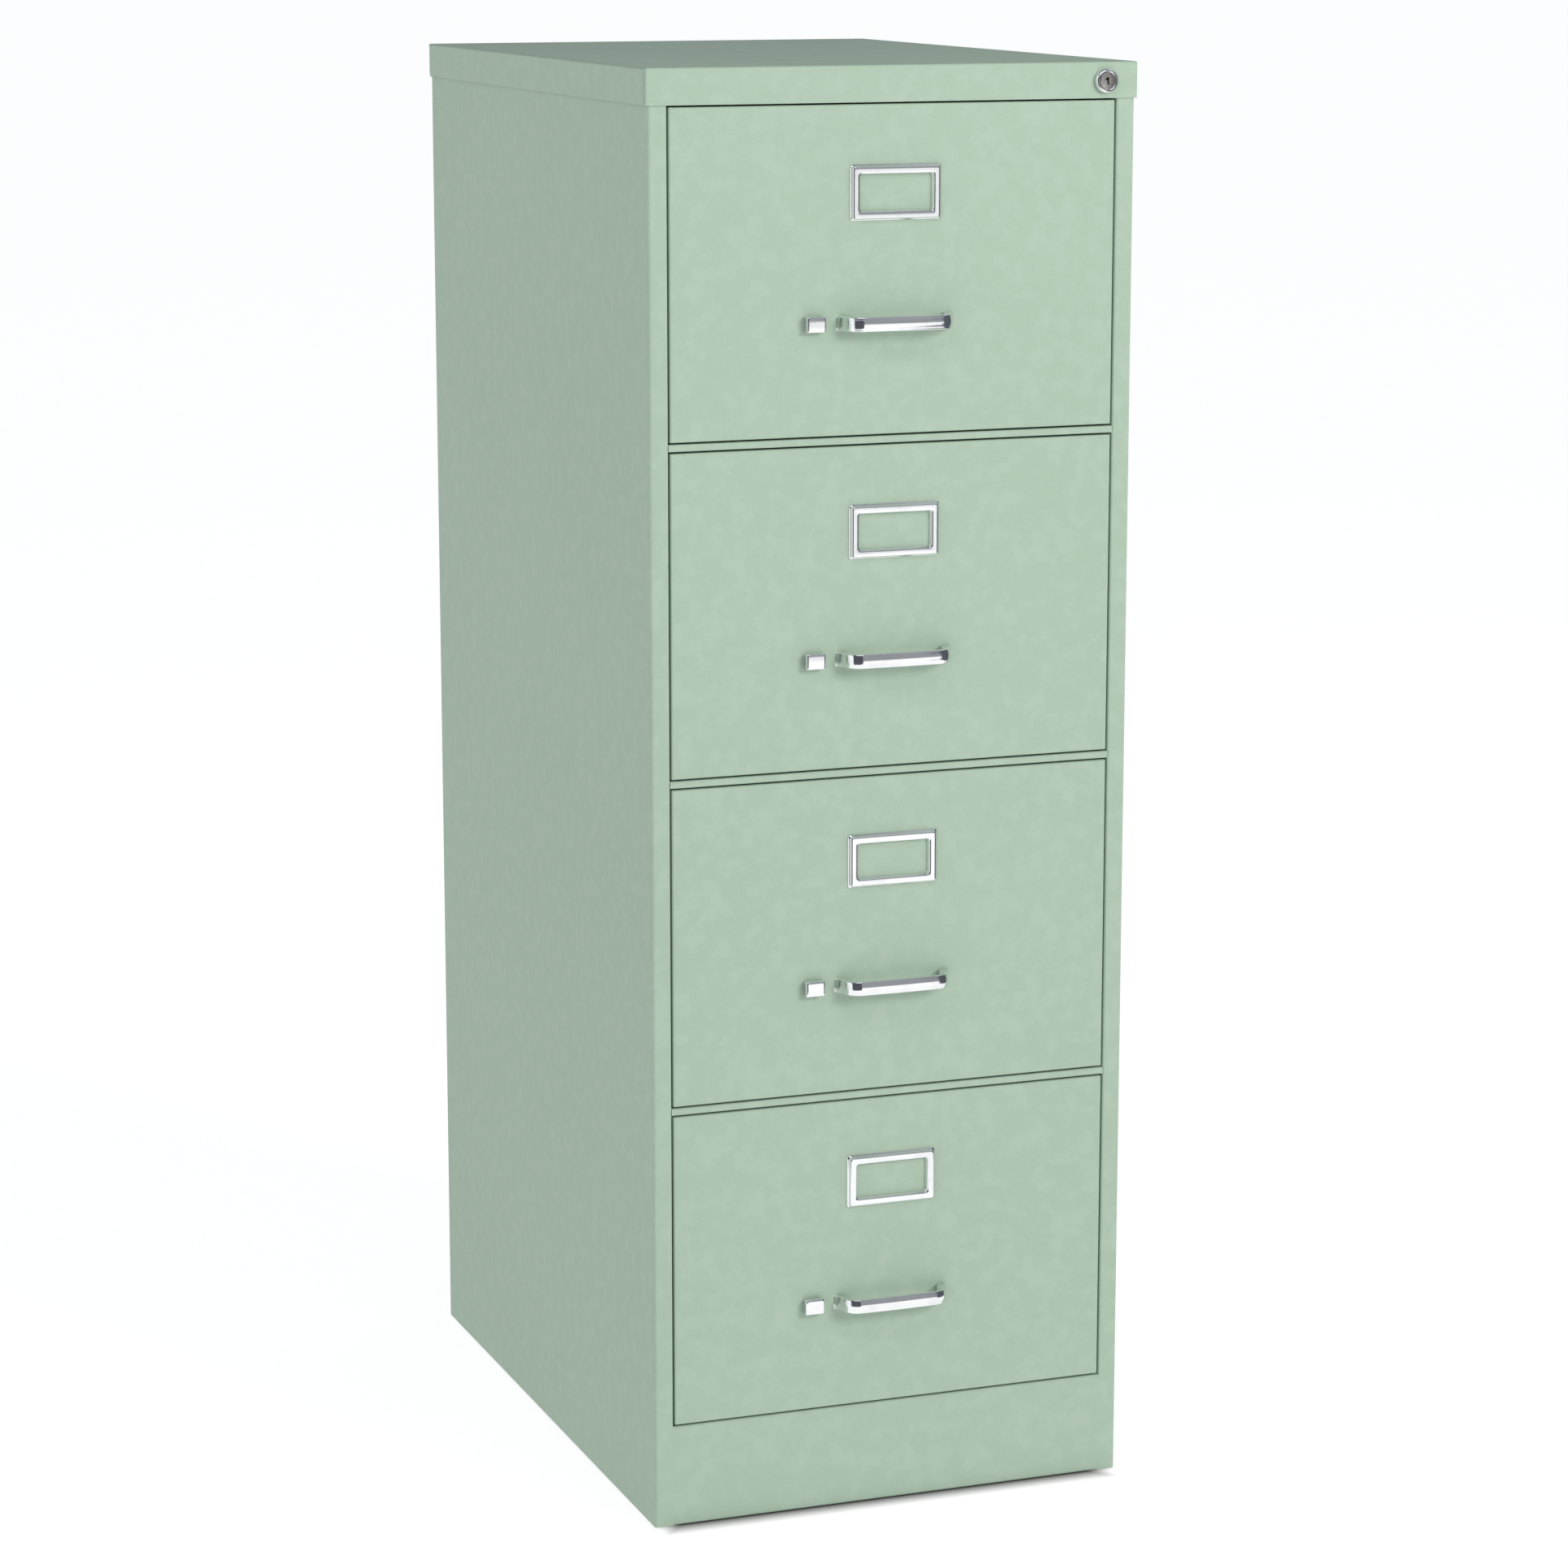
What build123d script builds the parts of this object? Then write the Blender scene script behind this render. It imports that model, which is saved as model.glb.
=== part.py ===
from build123d import *
import math
import os

# Four-drawer legal-width vertical filing cabinet in folded sheet steel.
# +Z is up, the drawers open towards -Y, and X is the width. The origin is on the floor, at the
# centre of the footprint, pulls included. All sizes are in millimetres.

# ---------------------------------------------------------------- overall sizes
cabinet_width = 463.6  # over the side skirts of the top cap
cabinet_height = 1320.8  # floor to the top of the cap
cabinet_depth = 673.1  # front of the cap's fascia to its rear skirt
drawer_count = 4
cut_over = 1.0  # how far a cutting block passes the face that it opens
tolerance = 0.01  # for picking edges by their place

# ---------------------------------------------------------------- sheet metal
case_sheet = 0.9
drawer_sheet = 0.8
bend_radius = 1.2  # inside radius of an ordinary fold
corner_radius = 2.4  # inside radius of the case's long vertical corners

# ---------------------------------------------------------------- top cap
cap_sheet = 0.9
cap_height = 32.2
cap_gap = 1.1  # between a skirt and the panel that it covers
fascia_gap = 0.3  # between the fascia and the top rail behind it
cap_edge_radius = 1.8
cap_seam = 0.8  # open seam where a side skirt meets the wrapped corner
cap_corner_wrap = 4.6
cap_skirt_round = 4.0

# ---------------------------------------------------------------- case
glide_stand = 2.0  # lower edge of the case above the floor
base_height = 96.5  # floor to the lowest drawer opening
base_return = 16.0
base_foot_return = 20.0
rail_height = 6.4
rail_leg = 13.0
rail_bend_radius = 0.6
stile_width = 17.8
stile_return = 13.6
rear_flange = 16.0
back_clearance = 0.3  # beyond the fold's inside radius
member_sheet = 1.5
member_width = 40.0
member_height = 22.0
member_web_z = 12.0
front_member_setback = 30.0
rear_member_gap = 3.6  # between the rear member and the back panel
upright_sheet = 1.2
upright_width = 30.0
front_upright_setback = 46.0
rear_upright_setback = 60.0

# ---------------------------------------------------------------- leveling glides
glide_pad_radius = 12.5
glide_pad_height = 5.0
glide_pad_round = 1.6
glide_stem_radius = 4.0
glide_stem_clearance = 0.08
glide_stem_above = 12.0
glide_hex_flats = 13.0
glide_inset = 32.0

# ---------------------------------------------------------------- drawer fronts
front_gap = 1.6  # around each drawer front
front_depth = 18.0
front_edge_radius = 1.5
front_corner_radius = 0.7

# ---------------------------------------------------------------- slides
slide_sheet = 1.5
slide_width = 19.0
slide_half_height = 26.0
slide_setback = 24.0
slide_rear_gap = 22.0
slide_rise = 82.0  # slide centre line above the tray's floor
outer_flange = 16.0
member_gap = 1.0  # between the webs of nested members
mid_flange_extra = 1.0  # of the middle member's flanges beyond the outer member's
inner_flange_inset = 6.0
ball_gap = 4.0
ball_radius = 1.9
cage_width = 8.0
cage_thickness = 1.0
cage_margin = 12.0
balls_per_cage = 7
slide_overlap = 24.0  # of each member left in the next at full extension, beyond a half

# ---------------------------------------------------------------- drawer trays
tray_lift = 14.0  # tray floor above the lower edge of the front
tray_drop = 30.0  # top of the sides below the top edge of the front
tray_rear_gap = 34.0
tray_rear_height = 160.0
tray_bend = 2.0
hem_thickness = 1.6
hem_height = 8.0
front_plate_margin = 0.3

# ---------------------------------------------------------------- follower plates
follower_side_gap = 5.0
follower_height = 190.0
follower_depth = 14.0
follower_sheet = 1.0
follower_rear_gap = 12.0
follower_front_gap = 60.0
foot_width = 60.0
foot_length = 46.0
foot_thickness = 2.0
foot_clearance = 0.4
slot_width = 8.0
stem_clearance = 0.4
stem_length = 30.0
keeper_width = 20.0

# ---------------------------------------------------------------- pulls, in the drawer's face
pull_reach = 24.0
pull_grip_width = 96.0  # between the outer corners, before they are rounded
pull_grip_height = 13.4
pull_grip_thickness = 5.0
pull_arm_thickness = 8.0
pull_corner_radius = 12.0
pull_inner_radius = 5.0
pull_edge_round = 1.4
pull_pad_height = 15.0
pull_pad_width = 10.0
pull_pad_corner = 4.0
pull_pad_thickness = 2.6
pull_screw_pitch = 101.6
pull_drop = 190.5  # centre line below the top edge of the front
screw_radius = 2.0
screw_clearance = 0.08
screw_depth = 7.0
screw_head_radius = 4.0
screw_head_height = 2.6
screw_head_round = 0.8
screw_tip_gap = 1.0  # between the screw's tip and the end of its hole

# ---------------------------------------------------------------- label holders
holder_width = 86.7
holder_height = 49.6
holder_thickness = 4.2
holder_border = 7.9
holder_slope = 2.3
holder_window_slope = 1.5
holder_corner = 2.4
holder_drop = 76.8
card_depth = 0.8
card_margin = 3.0
peg_radius = 1.5
peg_clearance = 0.08
peg_length = 3.0
peg_root = 1.0  # of the peg inside the frame

# ---------------------------------------------------------------- thumb latches
button_offset = 77.0  # centre of the button left of the centre line
button_width = 18.1
button_height = 14.4
button_reach = 8.6
button_crown = 1.2
button_gap = 0.3
shank_width = 6.0
shank_height = 7.0
shank_offset = 4.0
latch_travel = 7.0
latch_thickness = 2.0
latch_height = 12.0
latch_catch = 5.5  # of the tip behind the stile's return
latch_back_gap = 1.0  # between the tip and the return that it catches
latch_notch_gap = 1.0
latch_bevel_depth = 1.6
latch_bevel_length = 3.3

# ---------------------------------------------------------------- lock
lock_inset = 11.6  # lock axis inboard of the drawer opening's edge
lock_drop = 16.8
bezel_radius = 11.1
bezel_reach = 5.4
bezel_round = 2.4
housing_radius = 9.5
housing_clearance = 0.1
housing_length = 22.0  # behind the case's front plane
plug_radius = 7.5
plug_clearance = 0.05
plug_reach = 0.4  # beyond the bezel
keyway_width = 1.5
keyway_height = 8.0
keyway_depth = 15.0
nut_flats = 22.0
nut_thickness = 4.0
nut_turn = 30.0  # so that a flat faces the stile's return
cam_gap = 0.3
cam_thickness = 2.0
cam_hub_radius = 7.0
cam_pin_radius = 2.0
cam_pin_circle = 8.0
cam_pin_length = 5.0
cam_ear_radius = 4.0
cam_start_angle = 225.0
cam_turn = 90.0

# ---------------------------------------------------------------- lock bar
bar_thickness = 2.0
bar_width = 14.0
bar_setback = 20.0
bar_side_gap = 0.3
bar_arm_height = 12.0
bar_arm_end = 6.0
bar_play = 0.4
bar_tail = 12.0  # of the bar below its lowest rivet, with the bar raised
finger_setback = 24.0
finger_depth = 3.0
finger_height = 8.0
finger_gap = 1.5
lug_setback = 8.0
lug_thickness = 1.5
lug_depth = 16.0
lug_height = 24.0
lug_drop = 40.0
lug_notch = 14.0
rivet_radius = 3.0
rivet_head_radius = 5.5
rivet_head_height = 1.5
rivet_clearance = 0.15
rivet_drop = 60.0

# ---------------------------------------------------------------- places worked out from the sizes
cap_overhang = cap_sheet + cap_gap
fascia_proud = cap_sheet + fascia_gap
body_half = cabinet_width / 2 - cap_overhang
side_inner = body_half - case_sheet
front_y = -(cabinet_depth - fascia_proud + pull_reach) / 2 + pull_reach
cap_front_y = front_y - fascia_proud
cap_back_y = cap_front_y + cabinet_depth
back_y = cap_back_y - cap_overhang
back_inner_y = back_y - 2 * case_sheet
case_top = cabinet_height - cap_sheet
cap_bottom = cabinet_height - cap_height
opening_half = body_half - stile_width
opening_height = (cap_bottom - base_height - (drawer_count - 1) * rail_height) / drawer_count
front_half = opening_half - front_gap
front_height = opening_height - 2 * front_gap
tray_half = opening_half - slide_width
tray_front_y = front_y + front_depth
tray_rear_y = back_inner_y - tray_rear_gap
tray_height = front_height - tray_lift - tray_drop
slide_front_y = front_y + slide_setback
slide_rear_y = back_inner_y - slide_rear_gap
slide_length = slide_rear_y - slide_front_y
drawer_travel = slide_length - slide_overlap
cage_length = slide_length - drawer_travel / 2 - 2 * cage_margin
mid_half_height = slide_half_height - slide_sheet - ball_gap
inner_half_height = mid_half_height - slide_sheet - ball_gap
lock_x = opening_half - lock_inset
lock_z = cabinet_height - lock_drop
housing_rear_y = front_y + housing_length
cam_y = housing_rear_y + cam_gap
bar_lift = 2 * cam_pin_circle * math.sin(math.radians(cam_turn / 2))
bar_x = side_inner - bar_side_gap - bar_thickness
latch_y = front_y + stile_return + latch_back_gap


def opening_bottom(number):
    """Lower edge of a drawer opening. Drawer 1 is the top one."""
    return cap_bottom - number * opening_height - (number - 1) * rail_height


def front_bottom(number):
    return opening_bottom(number) + front_gap


def front_top(number):
    return front_bottom(number) + front_height


def tray_floor(number):
    return front_bottom(number) + tray_lift


def slide_z(number):
    return tray_floor(number) + slide_rise


def finger_top(number):
    """Top of the lock bar's finger for a drawer, with the lock open."""
    return front_top(number) - lug_drop - lug_height - finger_gap


# ---------------------------------------------------------------- helpers
def block(x0, x1, y0, y1, z0, z1):
    """A box between two corners."""
    centre = Pos((x0 + x1) / 2, (y0 + y1) / 2, (z0 + z1) / 2)
    return centre * Box(abs(x1 - x0), abs(y1 - y0), abs(z1 - z0))


def rod_y(x, z, y0, y1, radius):
    """A cylinder along Y."""
    return Pos(x, (y0 + y1) / 2, z) * Rot(90, 0, 0) * Cylinder(radius, abs(y1 - y0))


def rod_x(y, z, x0, x1, radius):
    """A cylinder along X."""
    return Pos((x0 + x1) / 2, y, z) * Rot(0, 90, 0) * Cylinder(radius, abs(x1 - x0))


def along_x(section, x0, x1):
    """Extrudes a (y, z) section between two x values."""
    plane = Plane(origin=(x0, 0, 0), x_dir=(0, 1, 0), z_dir=(1, 0, 0))
    return extrude(plane * section, x1 - x0)


def along_y(section, y0, y1):
    """Extrudes an (x, z) section between two y values."""
    plane = Plane(origin=(0, y1, 0), x_dir=(1, 0, 0), z_dir=(0, -1, 0))
    return extrude(plane * section, y1 - y0)


def along_z(section, z0, z1):
    """Extrudes an (x, y) section between two z values."""
    return extrude(Plane.XY.offset(z0) * section, z1 - z0)


def folded(points, sheet, radii):
    """Section of a folded sheet. The points run along its outer face, every fold turns left, and
    the sheet lies on the left. radii holds the inside radius of each fold."""
    path = [Vector(*p) for p in points]
    normals = []
    for start, end in zip(path, path[1:]):
        run = (end - start).normalized()
        normals.append(Vector(-run.Y, run.X))
    inner = [path[0] + normals[0] * sheet]
    for corner, before, after in zip(path[1:-1], normals, normals[1:]):
        inner.append(corner + (before + after) * (sheet / (1 + before.dot(after))))
    inner.append(path[-1] + normals[-1] * sheet)
    outer_line = FilletPolyline(*path, radius=[r + sheet for r in radii])
    inner_line = FilletPolyline(*inner, radius=list(radii))
    ends = [Line(path[0], inner[0]), Line(path[-1], inner[-1])]
    edges = [edge for line in (outer_line, inner_line, *ends) for edge in line.edges()]
    return make_face(edges)


def pan(x0, x1, y0, y1, z0, z1, sheet, radius, corner):
    """A shallow pan with its closed face at y0, folded on all four sides, open at y1. radius is
    round the face, and corner is where two sides meet."""
    outer = block(x0, x1, y0, y1, z0, z1)
    outer = fillet(outer.edges().filter_by(Axis.Y), corner)
    outer = fillet(outer.faces().sort_by(Axis.Y)[0].edges(), radius)
    inner = block(x0 + sheet, x1 - sheet, y0 + sheet, y1 + cut_over, z0 + sheet, z1 - sheet)
    inner = fillet(inner.faces().sort_by(Axis.Y)[0].edges(), radius - sheet)
    return outer - inner


def both_sides(right):
    """The right-hand piece and its mirror image."""
    return [right, mirror(right, Plane.YZ)]


def group(solids):
    """Several separate solids in one node."""
    return Compound(children=[s for item in solids for s in item.solids()])


# ---------------------------------------------------------------- case
def side_panel():
    """Left side: rear flange, wall, stile and the stile's return. Below the lowest opening the
    stile stays flat, and the base panel butts against it."""
    wall = [
        (-body_half + rear_flange, back_y),
        (-body_half, back_y),
        (-body_half, front_y),
        (-opening_half, front_y),
    ]
    lower = folded(wall, case_sheet, [bend_radius, corner_radius])
    upper = folded(
        [*wall, (-opening_half, front_y + stile_return)],
        case_sheet,
        [bend_radius, corner_radius, bend_radius],
    )
    return along_z(lower, glide_stand, base_height) + along_z(upper, base_height, case_top)


def back_panel():
    """Flat sheet behind the side panels' rear flanges."""
    return block(
        -side_inner + bend_radius + back_clearance,
        side_inner - bend_radius - back_clearance,
        back_inner_y,
        back_y - case_sheet,
        glide_stand,
        case_top,
    )


def top_cap():
    """Folded cap with a front fascia, side skirts and a rear skirt, open below."""
    half = cabinet_width / 2
    outer = block(-half, half, cap_front_y, cap_back_y, cap_bottom, cabinet_height)
    outer = fillet(outer.edges().filter_by(Axis.Z), cap_edge_radius)
    outer = fillet(outer.faces().sort_by(Axis.Z)[-1].edges(), cap_edge_radius)
    inner = block(
        -half + cap_sheet,
        half - cap_sheet,
        cap_front_y + cap_sheet,
        cap_back_y - cap_sheet,
        cap_bottom - cut_over,
        cabinet_height - cap_sheet,
    )
    inside_radius = cap_edge_radius - cap_sheet
    inner = fillet(inner.edges().filter_by(Axis.Z), inside_radius)
    cap = outer - inner
    seam_top = cabinet_height - 2 * cap_edge_radius
    seam_y = cap_front_y + cap_corner_wrap
    cap -= block(
        -half - cut_over,
        half + cut_over,
        seam_y,
        seam_y + cap_seam,
        cap_bottom - cut_over,
        seam_top,
    )
    relief = cap_edge_radius + cap_seam
    for side in (-1, 1):
        cap -= block(
            side * (half - relief),
            side * (half + cut_over),
            cap_back_y - relief,
            cap_back_y + cut_over,
            cap_bottom - cut_over,
            seam_top,
        )
    free_corners = [
        edge
        for edge in cap.edges()
        if edge.length < cap_sheet + tolerance
        and abs(edge.center().Z - cap_bottom) < tolerance
        and edge.center().Y > cap_back_y - relief - tolerance
    ]
    cap = fillet(free_corners, cap_skirt_round)
    hole = housing_radius + housing_clearance
    return cap - rod_y(lock_x, lock_z, cap_front_y - cut_over, front_y, hole)


def base_panel():
    """Folded kick panel below the lowest drawer."""
    section = folded(
        [
            (front_y + base_return, base_height),
            (front_y, base_height),
            (front_y, glide_stand),
            (front_y + base_foot_return, glide_stand),
        ],
        case_sheet,
        [bend_radius, bend_radius],
    )
    return along_x(section, -opening_half, opening_half)


def channel_rail(bottom, top, leg, radius):
    """A rail across the front, open towards the back."""
    section = folded(
        [(front_y + leg, top), (front_y, top), (front_y, bottom), (front_y + leg, bottom)],
        case_sheet,
        [radius, radius],
    )
    return along_x(section, -opening_half, opening_half)


def front_rails():
    """The rails between the drawers, and the taller one behind the cap's fascia."""
    rails = []
    for number in range(1, drawer_count):
        bottom = opening_bottom(number) - rail_height
        rails.append(channel_rail(bottom, bottom + rail_height, rail_leg, rail_bend_radius))
    top_rail = channel_rail(cap_bottom, case_top, rail_leg, bend_radius)
    hole = housing_radius + housing_clearance
    rear = front_y + case_sheet + cut_over
    rails.append(top_rail - rod_y(lock_x, lock_z, front_y - cut_over, rear, hole))
    return group(rails)


def member_rear_edges():
    """Rear edge of the front and of the rear cross member."""
    return [front_y + front_member_setback + member_width, back_inner_y - rear_member_gap]


def cross_members():
    """Two channels across the bottom, which hold the glides."""
    members = []
    for rear in member_rear_edges():
        front = rear - member_width
        top = member_web_z + member_height
        section = folded(
            [(front, top), (front, member_web_z), (rear, member_web_z), (rear, top)],
            member_sheet,
            [bend_radius, bend_radius],
        )
        member = along_x(section, -side_inner, side_inner)
        for side in (-1, 1):
            hole = Cylinder(glide_stem_radius + glide_stem_clearance, 2 * (member_sheet + cut_over))
            member -= Pos(side * (side_inner - glide_inset), rear - member_width / 2, member_web_z) * hole
        members.append(member)
    return group(members)


def leveling_glide(x, y):
    """A foot pad, its adjusting hex and its threaded stem."""
    pad = Pos(x, y, glide_pad_height / 2) * Cylinder(glide_pad_radius, glide_pad_height)
    pad = fillet(pad.faces().sort_by(Axis.Z)[-1].edges(), glide_pad_round)
    hexagon = RegularPolygon(glide_hex_flats / 2, 6, major_radius=False)
    hexagon = Pos(x, y, glide_pad_height) * extrude(hexagon, member_web_z - glide_pad_height)
    stem_top = member_web_z + glide_stem_above
    stem = Pos(x, y, stem_top / 2) * Cylinder(glide_stem_radius, stem_top)
    return pad + hexagon + stem


def leveling_glides():
    glides = []
    for rear in member_rear_edges():
        for side in (-1, 1):
            glides.append(leveling_glide(side * (side_inner - glide_inset), rear - member_width / 2))
    return group(glides)


def slide_uprights():
    """Four vertical channels between the side panels and the slides."""
    uprights = []
    starts = (
        front_y + front_upright_setback,
        back_inner_y - rear_upright_setback - upright_width,
    )
    for start in starts:
        end = start + upright_width
        section = folded(
            [(-side_inner, start), (-opening_half, start), (-opening_half, end), (-side_inner, end)],
            upright_sheet,
            [bend_radius, bend_radius],
        )
        left = along_z(section, member_web_z + member_height, cap_bottom)
        uprights += both_sides(left)
    return group(uprights)


# ---------------------------------------------------------------- slides
def slide_outer(number):
    """Right-hand outer member, fixed to the uprights."""
    z = slide_z(number)
    section = folded(
        [
            (opening_half - outer_flange, z - slide_half_height),
            (opening_half, z - slide_half_height),
            (opening_half, z + slide_half_height),
            (opening_half - outer_flange, z + slide_half_height),
        ],
        slide_sheet,
        [bend_radius, bend_radius],
    )
    return along_y(section, slide_front_y, slide_rear_y)


def slide_mid(number):
    """Right-hand middle member, which runs inside the outer one."""
    z = slide_z(number)
    web = opening_half - slide_sheet - member_gap
    tip = opening_half - outer_flange - mid_flange_extra
    section = folded(
        [
            (tip, z - mid_half_height),
            (web, z - mid_half_height),
            (web, z + mid_half_height),
            (tip, z + mid_half_height),
        ],
        slide_sheet,
        [bend_radius, bend_radius],
    )
    return along_y(section, slide_front_y, slide_rear_y)


def slide_inner(number):
    """Right-hand inner member, fixed to the tray's side."""
    z = slide_z(number)
    tip = opening_half - inner_flange_inset
    section = folded(
        [
            (tip, z + inner_half_height),
            (tray_half, z + inner_half_height),
            (tray_half, z - inner_half_height),
            (tip, z - inner_half_height),
        ],
        slide_sheet,
        [bend_radius, bend_radius],
    )
    return along_y(section, slide_front_y, slide_rear_y)


def ball_cage(x, z, start):
    """A retainer strip with its row of balls."""
    cage = block(
        x - cage_width / 2,
        x + cage_width / 2,
        start,
        start + cage_length,
        z - cage_thickness / 2,
        z + cage_thickness / 2,
    )
    pitch = cage_length / balls_per_cage
    for index in range(balls_per_cage):
        cage += Pos(x, start + (index + 0.5) * pitch, z) * Sphere(ball_radius)
    return cage


def ball_cages(number):
    """Four rows a side. The outer rows stay with the rear half of the middle member and the inner
    rows with its front half, so no row leaves its races."""
    z = slide_z(number)
    x = opening_half - slide_width / 2
    outer_row = mid_half_height + ball_gap / 2
    inner_row = inner_half_height + ball_gap / 2
    cages = []
    for sign in (-1, 1):
        rear_start = slide_rear_y - cage_margin - cage_length
        cages += both_sides(ball_cage(x, z + sign * outer_row, rear_start))
        cages += both_sides(ball_cage(x, z + sign * inner_row, slide_front_y + cage_margin))
    return group(cages)


# ---------------------------------------------------------------- drawers
def drawer_front(number):
    """Folded front pan with the openings for its fittings."""
    z0, z1 = front_bottom(number), front_top(number)
    pull_z = z1 - pull_drop
    holder_z = z1 - holder_drop
    front = pan(
        -front_half,
        front_half,
        front_y,
        front_y + front_depth,
        z0,
        z1,
        case_sheet,
        front_edge_radius,
        front_corner_radius,
    )
    y0, y1 = front_y - cut_over, front_y + case_sheet + cut_over
    for side in (-1, 1):
        screw_x = side * pull_screw_pitch / 2
        front -= rod_y(screw_x, pull_z, y0, y1, screw_radius + screw_clearance)
        peg_x = side * (holder_width - holder_border) / 2
        front -= rod_y(peg_x, holder_z, y0, y1, peg_radius + peg_clearance)
    shank_x = -button_offset - shank_offset
    front -= block(
        shank_x - shank_width / 2 - stem_clearance,
        shank_x + shank_width / 2 + latch_travel + stem_clearance,
        y0,
        y1,
        pull_z - shank_height / 2 - stem_clearance,
        pull_z + shank_height / 2 + stem_clearance,
    )
    front -= block(
        -front_half - cut_over,
        -front_half + 2 * case_sheet,
        latch_y - latch_notch_gap,
        front_y + front_depth + cut_over,
        pull_z - latch_height / 2 - latch_notch_gap,
        pull_z + latch_height / 2 + latch_notch_gap,
    )
    return front


def lock_lug(number):
    """Hook behind the front plate that the lock bar's finger rises into."""
    bottom = front_top(number) - lug_drop - lug_height
    x0 = opening_half - lug_setback
    y0 = tray_front_y + drawer_sheet
    lug = block(x0, x0 + lug_thickness, y0, y0 + lug_depth, bottom, bottom + lug_height)
    finger_y = front_y + finger_setback
    return lug - block(
        x0 - cut_over,
        x0 + lug_thickness + cut_over,
        finger_y - finger_gap,
        finger_y + finger_depth + finger_gap,
        bottom - cut_over,
        bottom + lug_notch,
    )


def drawer_tray(number):
    """Folded tray with a wide front plate that closes the front pan, hemmed sides, a slotted
    floor for the follower, and the lock's lug."""
    floor = tray_floor(number)
    top = floor + tray_height
    outer = block(-tray_half, tray_half, tray_front_y, tray_rear_y, floor, top)
    outer = fillet(outer.faces().sort_by(Axis.Z)[0].edges().filter_by(Axis.Y), tray_bend)
    inner = block(
        -tray_half + drawer_sheet,
        tray_half - drawer_sheet,
        tray_front_y + drawer_sheet,
        tray_rear_y - drawer_sheet,
        floor + drawer_sheet,
        top + cut_over,
    )
    inner_edges = inner.faces().sort_by(Axis.Z)[0].edges().filter_by(Axis.Y)
    inner = fillet(inner_edges, tray_bend - drawer_sheet)
    tray = outer - inner
    tray -= block(
        -tray_half - cut_over,
        tray_half + cut_over,
        tray_rear_y - drawer_sheet,
        tray_rear_y + cut_over,
        floor + tray_rear_height,
        top + cut_over,
    )
    for side in (-1, 1):
        tray += block(
            side * tray_half,
            side * (tray_half + hem_thickness),
            tray_front_y + drawer_sheet,
            tray_rear_y - drawer_sheet,
            top - hem_height,
            top,
        )
    plate_half = front_half - front_plate_margin
    tray += block(
        -plate_half,
        plate_half,
        tray_front_y,
        tray_front_y + drawer_sheet,
        front_bottom(number) + front_plate_margin,
        front_top(number) - front_plate_margin,
    )
    tray += lock_lug(number)
    slot_start, slot_end = follower_slot()
    return tray - block(
        -slot_width / 2,
        slot_width / 2,
        slot_start,
        slot_end,
        floor - cut_over,
        floor + drawer_sheet + cut_over,
    )


def follower_rest_y():
    """Rear face of a follower plate at rest."""
    return tray_rear_y - drawer_sheet - follower_rear_gap


def follower_travel():
    """From rest to its foremost place."""
    return follower_rest_y() - foot_length - tray_front_y - drawer_sheet - follower_front_gap


def stem_rest_y():
    """Rear face of the follower's stem at rest."""
    return follower_rest_y() - (foot_length - stem_length) / 2


def follower_slot():
    """Both ends of the slot in the tray's floor that the follower's stem runs in."""
    end = stem_rest_y() + 2 * stem_clearance
    start = stem_rest_y() - stem_length - follower_travel() - 2 * stem_clearance
    return start, end


def follower_plate(number):
    """Flanged plate on a foot. A stem through the floor's slot joins the foot to its keeper."""
    floor = tray_floor(number) + drawer_sheet
    bottom = floor + foot_clearance
    rear = follower_rest_y()
    half = tray_half - drawer_sheet - follower_side_gap
    plate = block(-half, half, rear - follower_depth, rear, bottom, bottom + follower_height)
    plate -= block(
        -half + follower_sheet,
        half - follower_sheet,
        rear - follower_depth - cut_over,
        rear - follower_sheet,
        bottom - cut_over,
        bottom + follower_height - follower_sheet,
    )
    plate += block(
        -foot_width / 2, foot_width / 2, rear - foot_length, rear, bottom, bottom + foot_thickness
    )
    stem_rear = stem_rest_y()
    keeper_top = floor - drawer_sheet - foot_clearance
    plate += block(
        -slot_width / 2 + stem_clearance,
        slot_width / 2 - stem_clearance,
        stem_rear - stem_length,
        stem_rear,
        keeper_top - foot_thickness,
        bottom,
    )
    plate += block(
        -keeper_width / 2,
        keeper_width / 2,
        stem_rear - stem_length,
        stem_rear,
        keeper_top - foot_thickness,
        keeper_top,
    )
    return plate


# ---------------------------------------------------------------- pulls
def pull_outline(half_base, half_grip, reach, radius):
    """Closed plan outline of a bow: slanted arms, round corners, flat base on y = 0."""
    outline = FilletPolyline(
        (half_base, 0), (half_grip, -reach), (-half_grip, -reach), (-half_base, 0), radius=radius
    )
    return make_face([*outline.edges(), *Line((-half_base, 0), (half_base, 0)).edges()])


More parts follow.
